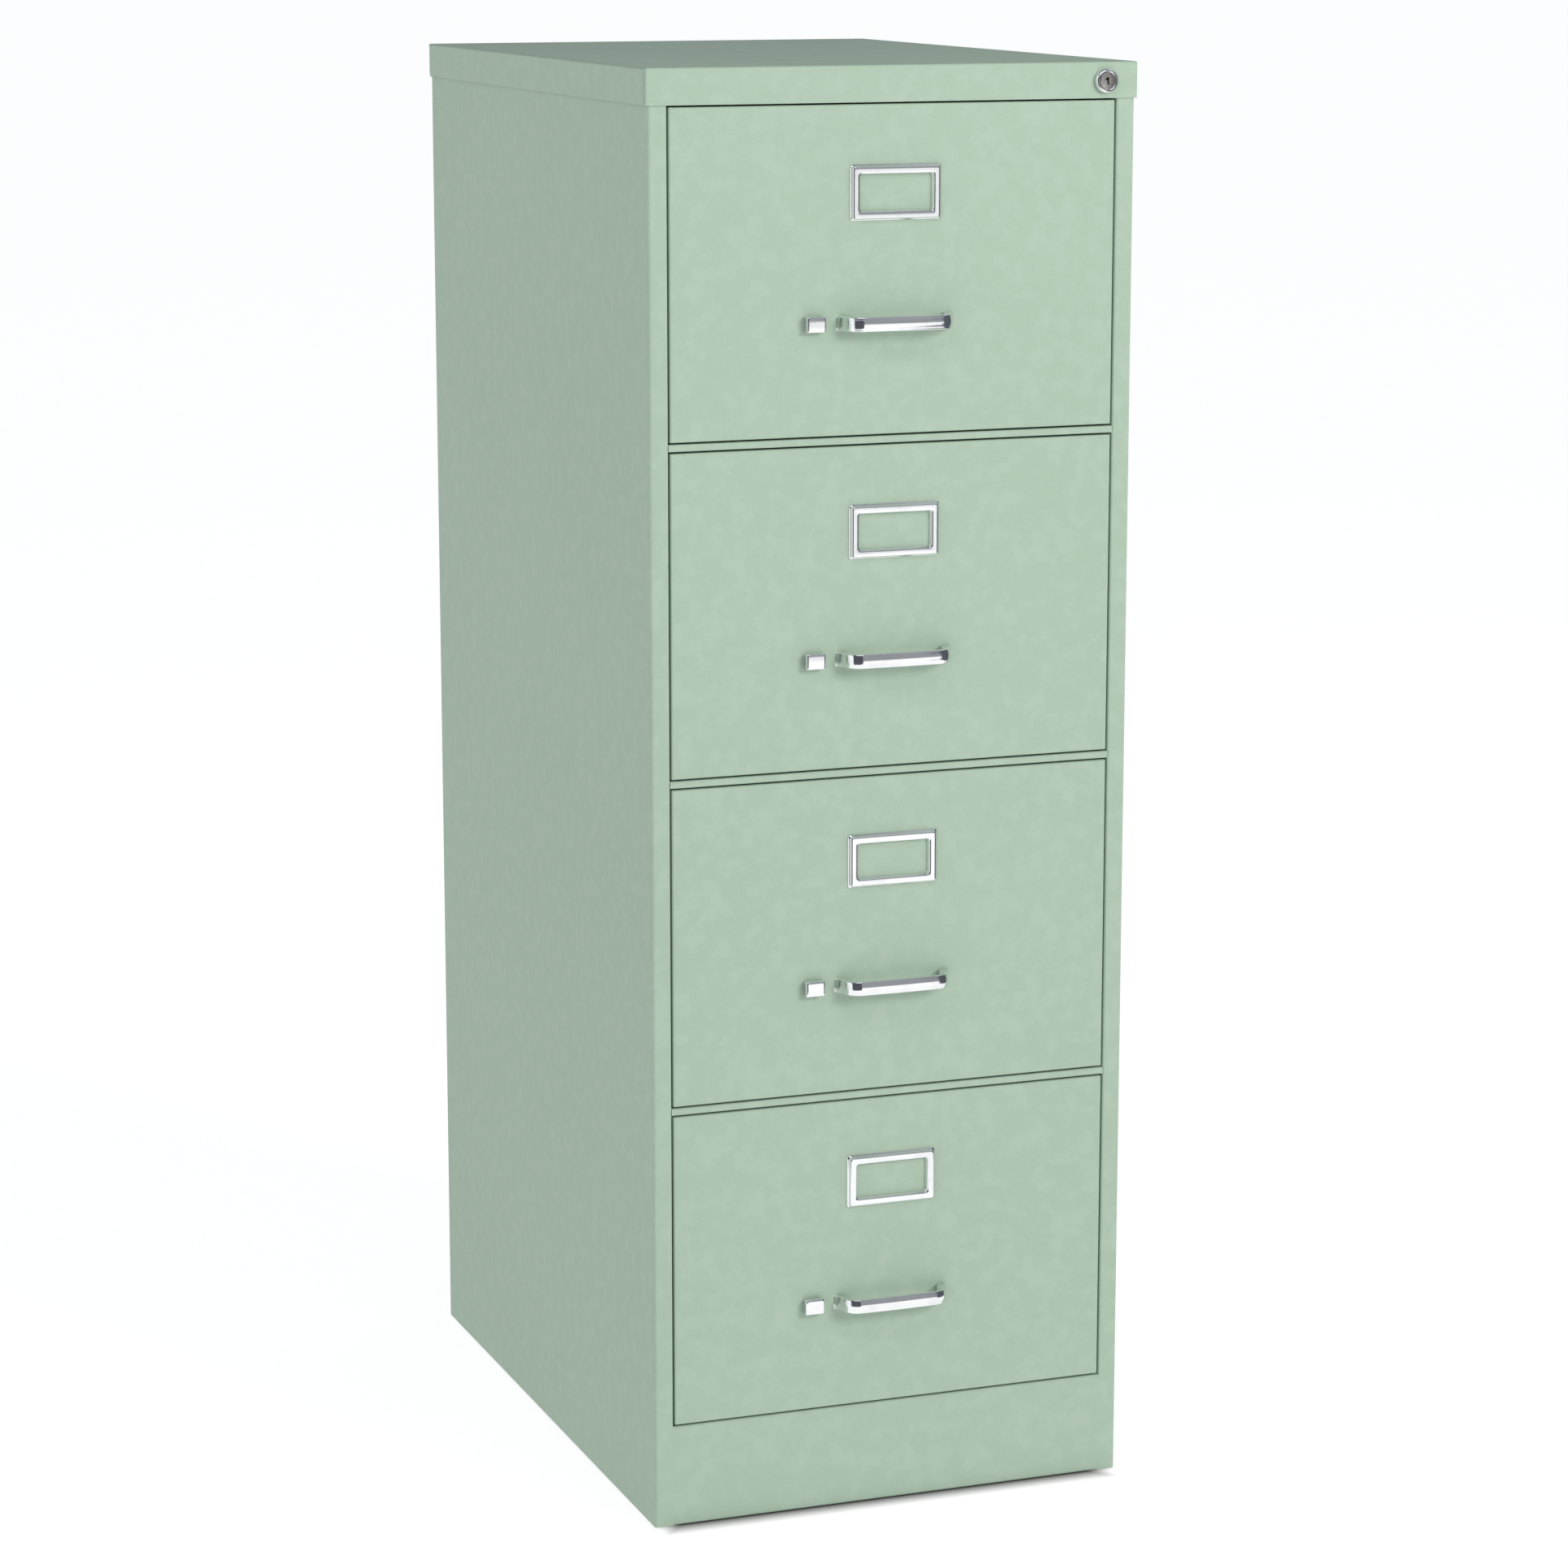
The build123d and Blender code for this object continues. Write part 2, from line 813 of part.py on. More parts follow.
def pull(number):
    """Bow pull with flared feet, tapped from behind for two screws."""
    z = front_top(number) - pull_drop
    half_base = (pull_screw_pitch + pull_arm_thickness) / 2
    half_grip = pull_grip_width / 2
    outer = pull_outline(half_base, half_grip, pull_reach, pull_corner_radius)
    inner = pull_outline(
        half_base - pull_arm_thickness,
        half_grip - pull_arm_thickness,
        pull_reach - pull_grip_thickness,
        pull_inner_radius,
    )
    bow = extrude(outer - inner, pull_grip_height)
    crest = [e for e in bow.edges().filter_by(Axis.X) if abs(e.center().Y + pull_reach) < tolerance]
    bow = fillet(crest, pull_edge_round)
    bow = Pos(0, front_y, z - pull_grip_height / 2) * bow
    for side in (-1, 1):
        screw_x = side * pull_screw_pitch / 2
        pad = RectangleRounded(pull_pad_width, pull_pad_height, pull_pad_corner)
        bow += along_y(Pos(screw_x, z) * pad, front_y - pull_pad_thickness, front_y)
        bow -= rod_y(screw_x, z, front_y - screw_depth, front_y + cut_over, screw_radius + screw_clearance)
    return bow


def pull_screws(number):
    """The two screws that hold the pull from inside the front pan."""
    z = front_top(number) - pull_drop
    seat = front_y + case_sheet
    screws = []
    for side in (-1, 1):
        x = side * pull_screw_pitch / 2
        head = rod_y(x, z, seat, seat + screw_head_height, screw_head_radius)
        head = fillet(head.faces().sort_by(Axis.Y)[-1].edges(), screw_head_round)
        tip = front_y - screw_depth + screw_tip_gap
        shank = rod_y(x, z, tip, seat + screw_head_height / 2, screw_radius)
        screws.append(head + shank)
    return group(screws)


# ---------------------------------------------------------------- label holders
def label_holder(number):
    """Bevelled frame with a card recess behind it, open at its right end, and two pegs."""
    z = front_top(number) - holder_drop
    back = Plane(origin=(0, front_y, z), x_dir=(1, 0, 0), z_dir=(0, -1, 0))
    face = back.offset(holder_thickness)
    base = back * RectangleRounded(holder_width, holder_height, holder_corner)
    crest = face * RectangleRounded(
        holder_width - 2 * holder_slope, holder_height - 2 * holder_slope, holder_corner
    )
    frame = loft([base, crest])
    window_width = holder_width - 2 * holder_border
    window_height = holder_height - 2 * holder_border
    window = loft(
        [
            back
            * RectangleRounded(
                window_width - 2 * holder_window_slope,
                window_height - 2 * holder_window_slope,
                holder_corner,
            ),
            face * RectangleRounded(window_width, window_height, holder_corner),
        ]
    )
    frame -= window
    frame -= block(
        -holder_width / 2 + card_margin,
        holder_width / 2 + cut_over,
        front_y - card_depth,
        front_y,
        z - holder_height / 2 + card_margin,
        z + holder_height / 2 - card_margin,
    )
    for side in (-1, 1):
        peg_x = side * (holder_width - holder_border) / 2
        frame += rod_y(peg_x, z, front_y - card_depth - peg_root, front_y + peg_length, peg_radius)
    return frame


# ---------------------------------------------------------------- thumb latches
def thumb_button(number):
    """Crowned button on a shank that passes through the front's slot."""
    z = front_top(number) - pull_drop
    back = front_y - button_gap
    shoulder = front_y - button_reach + button_crown
    half = button_height / 2
    crown = ThreePointArc((shoulder, z + half), (front_y - button_reach, z), (shoulder, z - half))
    sides = Polyline((shoulder, z - half), (back, z - half), (back, z + half), (shoulder, z + half))
    section = make_face([*crown.edges(), *sides.edges()])
    button = along_x(section, -button_offset - button_width / 2, -button_offset + button_width / 2)
    shank_x = -button_offset - shank_offset
    shank = block(
        shank_x - shank_width / 2,
        shank_x + shank_width / 2,
        back,
        latch_y,
        z - shank_height / 2,
        z + shank_height / 2,
    )
    return button + shank


def latch_bar(number):
    """Flat bar riveted to the button's shank. Its bevelled tip catches behind the stile."""
    z = front_top(number) - pull_drop
    tip = -opening_half - latch_catch
    bar = block(
        tip,
        -button_offset + button_width / 2,
        latch_y,
        latch_y + latch_thickness,
        z - latch_height / 2,
        z + latch_height / 2,
    )
    tip_edge = bar.edges().filter_by(Axis.Z).sort_by(Axis.X)[:2].sort_by(Axis.Y)[-1]
    return chamfer(tip_edge, latch_bevel_depth, latch_bevel_length)


# ---------------------------------------------------------------- lock
def lock_housing():
    """Round housing with a domed bezel, through the fascia and the top rail."""
    bezel = rod_y(lock_x, lock_z, cap_front_y - bezel_reach, cap_front_y, bezel_radius)
    bezel = fillet(bezel.faces().sort_by(Axis.Y)[0].edges(), bezel_round)
    barrel = rod_y(lock_x, lock_z, cap_front_y - bezel_reach / 2, housing_rear_y, housing_radius)
    bore_front = cap_front_y - bezel_reach - cut_over
    bore = rod_y(lock_x, lock_z, bore_front, housing_rear_y + cut_over, plug_radius + plug_clearance)
    return bezel + barrel - bore


def lock_nut():
    """Hexagonal nut on the housing, behind the top rail."""
    seat = front_y + case_sheet
    rear = seat + nut_thickness
    hexagon = RegularPolygon(nut_flats / 2, 6, major_radius=False, rotation=nut_turn)
    nut = along_y(Pos(lock_x, lock_z) * hexagon, seat, rear)
    hole = housing_radius + housing_clearance
    return nut - rod_y(lock_x, lock_z, seat - cut_over, rear + cut_over, hole)


def lock_plug():
    """Key plug. Its keyway is a blind slot, and its rear end carries the cam."""
    face = cap_front_y - bezel_reach - plug_reach
    plug = rod_y(lock_x, lock_z, face, cam_y, plug_radius)
    plug = fillet(plug.faces().sort_by(Axis.Y)[0].edges(), plug_reach)
    return plug - block(
        lock_x - keyway_width / 2,
        lock_x + keyway_width / 2,
        face - cut_over,
        face + keyway_depth,
        lock_z - keyway_height / 2,
        lock_z + keyway_height / 2,
    )


def cam_pin_place():
    """Centre of the cam's pin with the lock open."""
    angle = math.radians(cam_start_angle)
    return lock_x + cam_pin_circle * math.cos(angle), lock_z + cam_pin_circle * math.sin(angle)


def lock_cam():
    """Cam on the plug's rear end, with the pin that lifts the lock bar."""
    pin_x, pin_z = cam_pin_place()
    rear = cam_y + cam_thickness
    hub = rod_y(lock_x, lock_z, cam_y, rear, cam_hub_radius)
    ear = rod_y(pin_x, pin_z, cam_y, rear, cam_ear_radius)
    pin = rod_y(pin_x, pin_z, cam_y, rear + cam_pin_length, cam_pin_radius)
    return hub + ear + pin


def lock_bar():
    """Strip beside the right side panel with a finger for each drawer, slots for its rivets, and
    an arm whose slot takes the cam's pin."""
    pin_x, pin_z = cam_pin_place()
    y0 = front_y + bar_setback
    bar_top = pin_z + bar_arm_height / 2
    bar_bottom = rivet_z(drawer_count) - bar_lift - bar_tail
    bar = block(bar_x, bar_x + bar_thickness, y0, y0 + bar_width, bar_bottom, bar_top)
    finger_y = front_y + finger_setback
    finger_end = opening_half - lug_setback - finger_gap
    for number in range(1, drawer_count + 1):
        top = finger_top(number)
        bar += block(
            finger_end, bar_x, finger_y, finger_y + finger_depth, top - finger_height, top
        )
        slot_low = rivet_z(number) - rivet_radius - rivet_clearance - bar_lift - bar_play
        slot_high = rivet_z(number) + rivet_radius + rivet_clearance
        slot_half = rivet_radius + rivet_clearance
        middle = y0 + bar_width / 2
        bar -= block(
            bar_x - cut_over,
            bar_x + bar_thickness + cut_over,
            middle - slot_half,
            middle + slot_half,
            slot_low,
            slot_high,
        )
    arm_y = cam_y + cam_thickness + bar_play
    pin_sweep = cam_pin_circle - (lock_x - pin_x)
    slot_centre = pin_x - pin_sweep / 2
    slot_length = pin_sweep + 2 * cam_pin_radius + 2 * bar_play
    bar += block(
        slot_centre - slot_length / 2 - bar_arm_end,
        bar_x,
        arm_y,
        arm_y + bar_thickness,
        pin_z - bar_arm_height / 2,
        bar_top,
    )
    return bar - block(
        slot_centre - slot_length / 2,
        slot_centre + slot_length / 2,
        arm_y - cut_over,
        arm_y + bar_thickness + cut_over,
        pin_z - cam_pin_radius - bar_play,
        pin_z + cam_pin_radius + bar_play,
    )


def rivet_z(number):
    """Height of the guide rivet below each drawer's finger."""
    return finger_top(number) - rivet_drop


def lock_bar_rivets():
    """Shoulder rivets in the side panel that guide the lock bar."""
    y = front_y + bar_setback + bar_width / 2
    head_x = bar_x - bar_side_gap
    rivets = []
    for number in range(1, drawer_count + 1):
        z = rivet_z(number)
        shoulder = rod_x(y, z, head_x, side_inner, rivet_radius)
        head = rod_x(y, z, head_x - rivet_head_height, head_x, rivet_head_radius)
        rivets.append(shoulder + head)
    return group(rivets)


# ---------------------------------------------------------------- nodes
def build_nodes():
    """Every node by name."""
    left_side = side_panel()
    nodes = {
        "side_panel_left": left_side,
        "side_panel_right": mirror(left_side, Plane.YZ),
        "back_panel": back_panel(),
        "top_cap": top_cap(),
        "base_panel": base_panel(),
        "front_rails": front_rails(),
        "cross_members": cross_members(),
        "leveling_glides": leveling_glides(),
        "slide_uprights": slide_uprights(),
        "lock_housing": lock_housing(),
        "lock_nut": lock_nut(),
        "lock_plug": lock_plug(),
        "lock_cam": lock_cam(),
        "lock_bar": lock_bar(),
        "lock_bar_rivets": lock_bar_rivets(),
    }
    outer_members = []
    for number in range(1, drawer_count + 1):
        outer_members += both_sides(slide_outer(number))
        nodes[f"slide_mid_{number}"] = group(both_sides(slide_mid(number)))
        nodes[f"slide_inner_{number}"] = group(both_sides(slide_inner(number)))
        nodes[f"ball_cages_{number}"] = ball_cages(number)
        nodes[f"drawer_front_{number}"] = drawer_front(number)
        nodes[f"drawer_tray_{number}"] = drawer_tray(number)
        nodes[f"follower_plate_{number}"] = follower_plate(number)
        nodes[f"pull_{number}"] = pull(number)
        nodes[f"pull_screws_{number}"] = pull_screws(number)
        nodes[f"label_holder_{number}"] = label_holder(number)
        nodes[f"thumb_button_{number}"] = thumb_button(number)
        nodes[f"latch_bar_{number}"] = latch_bar(number)
    nodes["slide_outer_members"] = group(outer_members)
    return nodes


if __name__ == "__main__":
    os.makedirs("parts", exist_ok=True)
    for name, shape in build_nodes().items():
        export_step(shape, f"parts/{name}.step")
    print(f"drawer travel {drawer_travel:.1f}, follower travel {follower_travel():.1f}")
    print(f"bar lift {bar_lift:.2f}")
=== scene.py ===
import bmesh
import bpy
import math
from mathutils import Matrix, Vector


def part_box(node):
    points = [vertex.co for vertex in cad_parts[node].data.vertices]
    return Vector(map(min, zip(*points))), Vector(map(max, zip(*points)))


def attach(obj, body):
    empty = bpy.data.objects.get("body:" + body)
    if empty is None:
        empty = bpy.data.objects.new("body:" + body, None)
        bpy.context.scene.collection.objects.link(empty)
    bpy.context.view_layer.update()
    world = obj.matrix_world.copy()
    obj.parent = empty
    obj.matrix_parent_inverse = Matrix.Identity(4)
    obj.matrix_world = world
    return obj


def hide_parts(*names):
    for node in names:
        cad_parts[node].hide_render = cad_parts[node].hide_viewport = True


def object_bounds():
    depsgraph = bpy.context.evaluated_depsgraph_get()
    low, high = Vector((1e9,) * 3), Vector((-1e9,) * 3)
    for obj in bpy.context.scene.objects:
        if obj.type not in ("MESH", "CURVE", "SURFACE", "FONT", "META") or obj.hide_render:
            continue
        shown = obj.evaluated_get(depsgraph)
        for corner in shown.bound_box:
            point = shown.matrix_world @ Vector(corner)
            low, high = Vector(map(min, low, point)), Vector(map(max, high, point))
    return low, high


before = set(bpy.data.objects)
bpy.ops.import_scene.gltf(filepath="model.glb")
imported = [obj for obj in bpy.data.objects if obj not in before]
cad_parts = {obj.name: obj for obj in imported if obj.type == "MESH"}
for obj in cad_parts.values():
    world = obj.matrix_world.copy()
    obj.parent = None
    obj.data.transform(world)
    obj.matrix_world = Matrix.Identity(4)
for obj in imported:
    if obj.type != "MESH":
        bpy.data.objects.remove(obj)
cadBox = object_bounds()

drawers = range(1, 5)
mm = 0.001
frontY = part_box("drawer_front_1")[0].y                # plane of the drawer faces
capLow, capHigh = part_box("top_cap")


# ---- shader maths: a wire holds a socket, and arithmetic on it adds Math nodes
class Wire:
    def __init__(self, tree, socket):
        self.tree, self.socket = tree, socket

    def math(self, operation, *values):
        node = self.tree.nodes.new("ShaderNodeMath")
        node.operation = operation
        for place, value in zip(node.inputs, values):
            if isinstance(value, Wire):
                self.tree.links.new(value.socket, place)
            else:
                place.default_value = value
        return Wire(self.tree, node.outputs[0])

    def __add__(self, other):
        return self.math("ADD", self, other)

    def __radd__(self, other):
        return self.math("ADD", other, self)

    def __sub__(self, other):
        return self.math("SUBTRACT", self, other)

    def __rsub__(self, other):
        return self.math("SUBTRACT", other, self)

    def __mul__(self, other):
        return self.math("MULTIPLY", self, other)

    def __rmul__(self, other):
        return self.math("MULTIPLY", other, self)

    def __pow__(self, other):
        return self.math("POWER", self, other)

    def sine(self):
        return self.math("SINE", self)

    def size(self):
        return self.math("ABSOLUTE", self)

    def larger(self, other):
        return self.math("MAXIMUM", self, other)


class NodeBench:
    # a node tree, with short ways to add nodes
    def __init__(self, tree, coordinates):
        self.tree = tree
        self.place = self.node("ShaderNodeTexCoord", output=coordinates)

    def node(self, kind, settings=None, inputs=None, output=0):
        made = self.tree.nodes.new(kind)
        for key, value in (settings or {}).items():
            setattr(made, key, value)
        for key, value in (inputs or {}).items():
            if isinstance(value, Wire):
                self.tree.links.new(value.socket, made.inputs[key])
            else:
                made.inputs[key].default_value = value
        return Wire(self.tree, made.outputs[output])

    def noise(self, scale, detail=2.0, roughness=0.5, vector=None):
        return self.node("ShaderNodeTexNoise", None, {
            "Vector": vector or self.place, "Scale": scale, "Detail": detail, "Roughness": roughness})

    def stretched(self, scale):
        # object coordinates scaled unevenly, for rolled or drawn metal
        return self.node("ShaderNodeMapping", None, {"Vector": self.place, "Scale": scale})

    def span(self, wire, low, high):
        # 0 at low, 1 at high, eased between them
        return self.node("ShaderNodeMapRange", {"interpolation_type": "SMOOTHSTEP"}, {
            "Value": wire, "From Min": low, "From Max": high})

    def blend(self, factor, first, second):
        # colour mix; sockets 6 and 7 are the colour pair
        return self.node("ShaderNodeMix", {"data_type": "RGBA"}, {0: factor, 6: first, 7: second}, 2)

    def bump(self, height, strength, distance):
        return self.node("ShaderNodeBump", None, {
            "Height": height, "Strength": strength, "Distance": distance})

    def part(self, axis, wire=None):
        return self.node("ShaderNodeSeparateXYZ", None, {0: wire or self.place}, axis)


class Finish(NodeBench):
    # one material and its shader
    def __init__(self, name, **fixed):
        self.material = bpy.data.materials.new(name)
        self.material.use_nodes = True
        super().__init__(self.material.node_tree, "Object")
        self.shader = next(n for n in self.tree.nodes if n.type == "BSDF_PRINCIPLED")
        for socket, value in fixed.items():
            self.shader.inputs[socket.replace("_", " ")].default_value = value

    def feed(self, socket, wire):
        self.tree.links.new(wire.socket, self.shader.inputs[socket])


def rgba(red, green, blue):
    return (red, green, blue, 1.0)


# ---- finishes: noise scales are cycles in a metre, bump depths are metres
enamel = {
    "case": rgba(0.345, 0.452, 0.358), "caseDeep": rgba(0.340, 0.446, 0.353),
    "tray": rgba(0.306, 0.402, 0.318), "trayDeep": rgba(0.298, 0.392, 0.310),
    "rubAndHighlight": rgba(0.410, 0.510, 0.420), "pale": rgba(0.430, 0.530, 0.443), "dull": rgba(0.262, 0.362, 0.276),
    "rough": 0.46, "trayRougher": 0.06, "coat": 0.26, "coatRough": 0.2,
    "cloudScale": 3.2, "speckleScale": 700.0, "scuffScale": 70.0, "sheenScale": 16.0,
    "peelScale": 850.0, "waveScale": 38.0, "peelShare": 0.8, "waveShare": 0.12,
    "paleShare": 0.09, "dullShare": 0.10, "rubAndHighlightShare": 0.35,
    "sheenRough": 0.02, "speckleRough": 0.05, "bump": 0.10, "bumpDepth": 0.0003,
}


def bakedEnamel(name, main, deep, rough):
    # baked enamel over steel: even pigment, fine speckle, orange peel, convex edges paler, partly rubbed wear
    # and partly a painted highlight
    paint = Finish(name, Coat_Weight=enamel["coat"], Coat_Roughness=enamel["coatRough"], Specular_IOR_Level=0.0)
    cloud = paint.noise(enamel["cloudScale"], 3.0, 0.55)
    speckle = paint.noise(enamel["speckleScale"], 2.0, 0.6)
    tone = paint.blend(paint.span(cloud, 0.35, 0.68), main, deep)
    tone = paint.blend(paint.span(speckle, 0.50, 0.66) * enamel["paleShare"], tone, enamel["pale"])
    tone = paint.blend(paint.span(speckle, 0.50, 0.34) * enamel["dullShare"], tone, enamel["dull"])
    # paler convex edges: partly rubbed wear, partly a painted highlight where the rounded edges catch light
    edge = paint.node("ShaderNodeNewGeometry", output="Pointiness")
    scuff = paint.noise(enamel["scuffScale"], 3.0, 0.6)
    rubbedAndLit = paint.span(edge, 0.515, 0.56) * paint.span(scuff, 0.42, 0.66)
    paint.feed("Base Color", paint.blend(rubbedAndLit * enamel["rubAndHighlightShare"], tone, enamel["rubAndHighlight"]))
    sheen = paint.noise(enamel["sheenScale"], 3.0, 0.6)
    paint.feed("Roughness", rough - enamel["sheenRough"] + sheen * enamel["sheenRough"]
               + speckle * enamel["speckleRough"])
    peel = paint.noise(enamel["peelScale"], 2.0, 0.5)
    wave = paint.noise(enamel["waveScale"], 1.0, 0.4)
    paint.feed("Normal", paint.bump(peel * enamel["peelShare"] + wave * enamel["waveShare"],
                                    enamel["bump"], enamel["bumpDepth"]))
    return paint.material


zincLook = {
    "slide": rgba(0.58, 0.59, 0.60), "upright": rgba(0.54, 0.55, 0.55), "darker": 0.72,
    "warmer": (0.98, 0.90, 0.74), "alongY": (500.0, 9.0, 500.0), "alongZ": (500.0, 500.0, 9.0),
    "spangleScale": 260.0, "tarnishScale": 14.0, "streakShare": 0.55, "tarnishShare": 0.4,
    "rough": 0.26, "facetRough": 0.10, "tarnishRough": 0.12, "bump": 0.12, "bumpDepth": 0.0002,
}


def zincPlate(name, base, grain):
    # zinc-plated rolled steel: streaks along the rolling direction, spangle and light tarnish
    zinc = Finish(name, Metallic=1.0)
    streak = zinc.noise(1.0, 4.0, 0.6, zinc.stretched(grain))
    spangle = zinc.node("ShaderNodeTexVoronoi", {"feature": "F1"}, {
        "Vector": zinc.place, "Scale": zincLook["spangleScale"]}, "Color")
    tarnish = zinc.noise(zincLook["tarnishScale"], 4.0, 0.6)
    dark = rgba(*(channel * zincLook["darker"] for channel in base[:3]))
    warm = rgba(*(channel * share for channel, share in zip(base, zincLook["warmer"])))
    tone = zinc.blend(zinc.span(streak, 0.35, 0.7) * zincLook["streakShare"], base, dark)
    tone = zinc.blend(zinc.span(tarnish, 0.58, 0.8) * zincLook["tarnishShare"], tone, warm)
    zinc.feed("Base Color", tone)
    facet = zinc.part(0, spangle)
    zinc.feed("Roughness", zincLook["rough"] + facet * zincLook["facetRough"]
              + tarnish * zincLook["tarnishRough"])
    zinc.feed("Normal", zinc.bump(streak, zincLook["bump"], zincLook["bumpDepth"]))
    return zinc.material


chromeLook = {
    "bright": rgba(0.86, 0.87, 0.88), "hazed": rgba(0.79, 0.80, 0.82), "hazeScale": 45.0,
    "hairlineScale": (60.0, 1500.0, 1500.0), "rippleScale": 160.0, "rough": 0.10, "hazeRough": 0.06,
    "hairlineRough": 0.05, "hairlineDepth": 0.1, "bump": 0.07, "bumpDepth": 0.0003,
}


def polishedChrome(name):
    # chrome plate over a die casting: slight waviness, hairlines, faint haze
    chrome = Finish(name, Metallic=1.0)
    haze = chrome.noise(chromeLook["hazeScale"], 3.0, 0.6)
    hairline = chrome.noise(1.0, 3.0, 0.6, chrome.stretched(chromeLook["hairlineScale"]))
    tone = chrome.blend(chrome.span(haze, 0.45, 0.75), chromeLook["bright"], chromeLook["hazed"])
    chrome.feed("Base Color", tone)
    chrome.feed("Roughness", chromeLook["rough"] + chrome.span(haze, 0.4, 0.8) * chromeLook["hazeRough"]
                + chrome.span(hairline, 0.6, 0.8) * chromeLook["hairlineRough"])
    ripple = chrome.noise(chromeLook["rippleScale"], 1.0, 0.4)
    chrome.feed("Normal", chrome.bump(ripple + hairline * chromeLook["hairlineDepth"],
                                      chromeLook["bump"], chromeLook["bumpDepth"]))
    return chrome.material


nickelLook = {
    "bright": rgba(0.74, 0.70, 0.64), "dull": rgba(0.58, 0.55, 0.50), "ringScale": 26000.0, "cloudScale": 400.0,
    "rough": 0.30, "cloudRough": 0.14, "ringDepth": 0.3, "bump": 0.2, "bumpDepth": 0.00006,
}


def satinNickel(name, centre):
    # turned nickel face: fine rings round the lock's axis
    nickel = Finish(name, Metallic=1.0)
    local = nickel.node("ShaderNodeVectorMath", {"operation": "SUBTRACT"}, {0: nickel.place, 1: centre})
    x, z = nickel.part(0, local), nickel.part(2, local)
    radius = (x * x + z * z) ** 0.5
    rings = (radius * nickelLook["ringScale"]).sine()
    cloud = nickel.noise(nickelLook["cloudScale"], 3.0, 0.6)
    tone = nickel.blend(nickel.span(cloud, 0.35, 0.7), nickelLook["bright"], nickelLook["dull"])
    nickel.feed("Base Color", tone)
    nickel.feed("Roughness", nickelLook["rough"] + cloud * nickelLook["cloudRough"])
    nickel.feed("Normal", nickel.bump(rings * nickelLook["ringDepth"] + cloud,
                                      nickelLook["bump"], nickelLook["bumpDepth"]))
    return nickel.material


nylonLook = {
    "dark": rgba(0.020, 0.019, 0.018), "scuffed": rgba(0.075, 0.070, 0.064), "grainScale": 900.0,
    "scuffScale": 120.0, "rough": 0.42, "scuffRough": 0.25, "bump": 0.3, "bumpDepth": 0.0001,
}


def mouldedNylon(name):
    # matt black nylon, greyed where it is scuffed
    nylon = Finish(name, Metallic=0.0, IOR=1.53)
    grain = nylon.noise(nylonLook["grainScale"], 3.0, 0.6)
    scuff = nylon.noise(nylonLook["scuffScale"], 4.0, 0.65)
    nylon.feed("Base Color", nylon.blend(nylon.span(scuff, 0.5, 0.75), nylonLook["dark"], nylonLook["scuffed"]))
    nylon.feed("Roughness", nylonLook["rough"] + nylon.span(scuff, 0.45, 0.8) * nylonLook["scuffRough"])
    nylon.feed("Normal", nylon.bump(grain, nylonLook["bump"], nylonLook["bumpDepth"]))
    return nylon.material


ballLook = {
    "steel": rgba(0.66, 0.66, 0.65), "grease": rgba(0.40, 0.36, 0.28), "filmScale": 300.0, "filmShare": 0.7,
    "rough": 0.10, "filmRough": 0.22, "bump": 0.05, "bumpDepth": 0.0001,
}


def greasedBall(name):
    # polished ball under a film of grease
    ball = Finish(name, Metallic=1.0)
    film = ball.noise(ballLook["filmScale"], 3.0, 0.6)
    tone = ball.blend(ball.span(film, 0.45, 0.7) * ballLook["filmShare"], ballLook["steel"], ballLook["grease"])
    ball.feed("Base Color", tone)
    ball.feed("Roughness", ballLook["rough"] + film * ballLook["filmRough"])
    ball.feed("Normal", ball.bump(film, ballLook["bump"], ballLook["bumpDepth"]))
    return ball.material


lockLow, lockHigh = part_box("lock_plug")
lockCentre = Vector(((lockLow.x + lockHigh.x) / 2, 0.0, (lockLow.z + lockHigh.z) / 2))
finishes = {
    "casePaint": bakedEnamel("casePaint", enamel["case"], enamel["caseDeep"], enamel["rough"]),
    "trayPaint": bakedEnamel("trayPaint", enamel["tray"], enamel["trayDeep"],
                             enamel["rough"] + enamel["trayRougher"]),
    "zinc": zincPlate("zincPlate", zincLook["slide"], zincLook["alongY"]),
    "zincUpright": zincPlate("zincUpright", zincLook["upright"], zincLook["alongZ"]),
    "chrome": polishedChrome("polishedChrome"),
    "nickel": satinNickel("satinNickel", tuple(lockCentre)),
    "nylon": mouldedNylon("mouldedNylon"),
    "ball": greasedBall("greasedBall"),
}
print("finishes made:", len(finishes))


# ---- mesh helpers
def finishMesh(name, mesh, finish, smoothAngle=35.0):
    # bmesh to object, shaded smooth except across folds sharper than the angle
    bmesh.ops.remove_doubles(mesh, verts=mesh.verts, dist=1e-7)
    bmesh.ops.recalc_face_normals(mesh, faces=mesh.faces)
    limit = math.radians(smoothAngle)
    for face in mesh.faces:
        face.smooth = True
    for edge in mesh.edges:
        if len(edge.link_faces) == 2:
            edge.smooth = edge.calc_face_angle(0.0) < limit
    data = bpy.data.meshes.new(name)
    mesh.to_mesh(data)
    mesh.free()
    data.materials.append(finishes[finish])
    piece = bpy.data.objects.new(name, data)
    bpy.context.scene.collection.objects.link(piece)
    return piece


def seat(piece, body, slotName, *nodes):
    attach(piece, body)
    if nodes:
        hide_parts(*nodes)
    return piece


def skin(mesh, rings, closed=False):
    # faces between rings of points that have equal counts; a closed run of rings joins last to first
    rows = [[mesh.verts.new(point) for point in ring] for ring in rings]
    pairs = list(zip(rows, rows[1:])) + ([(rows[-1], rows[0])] if closed else [])
    for near, far in pairs:
        for i in range(len(near)):
            j = (i + 1) % len(near)
            mesh.faces.new((near[i], near[j], far[j], far[i]))
    return rows


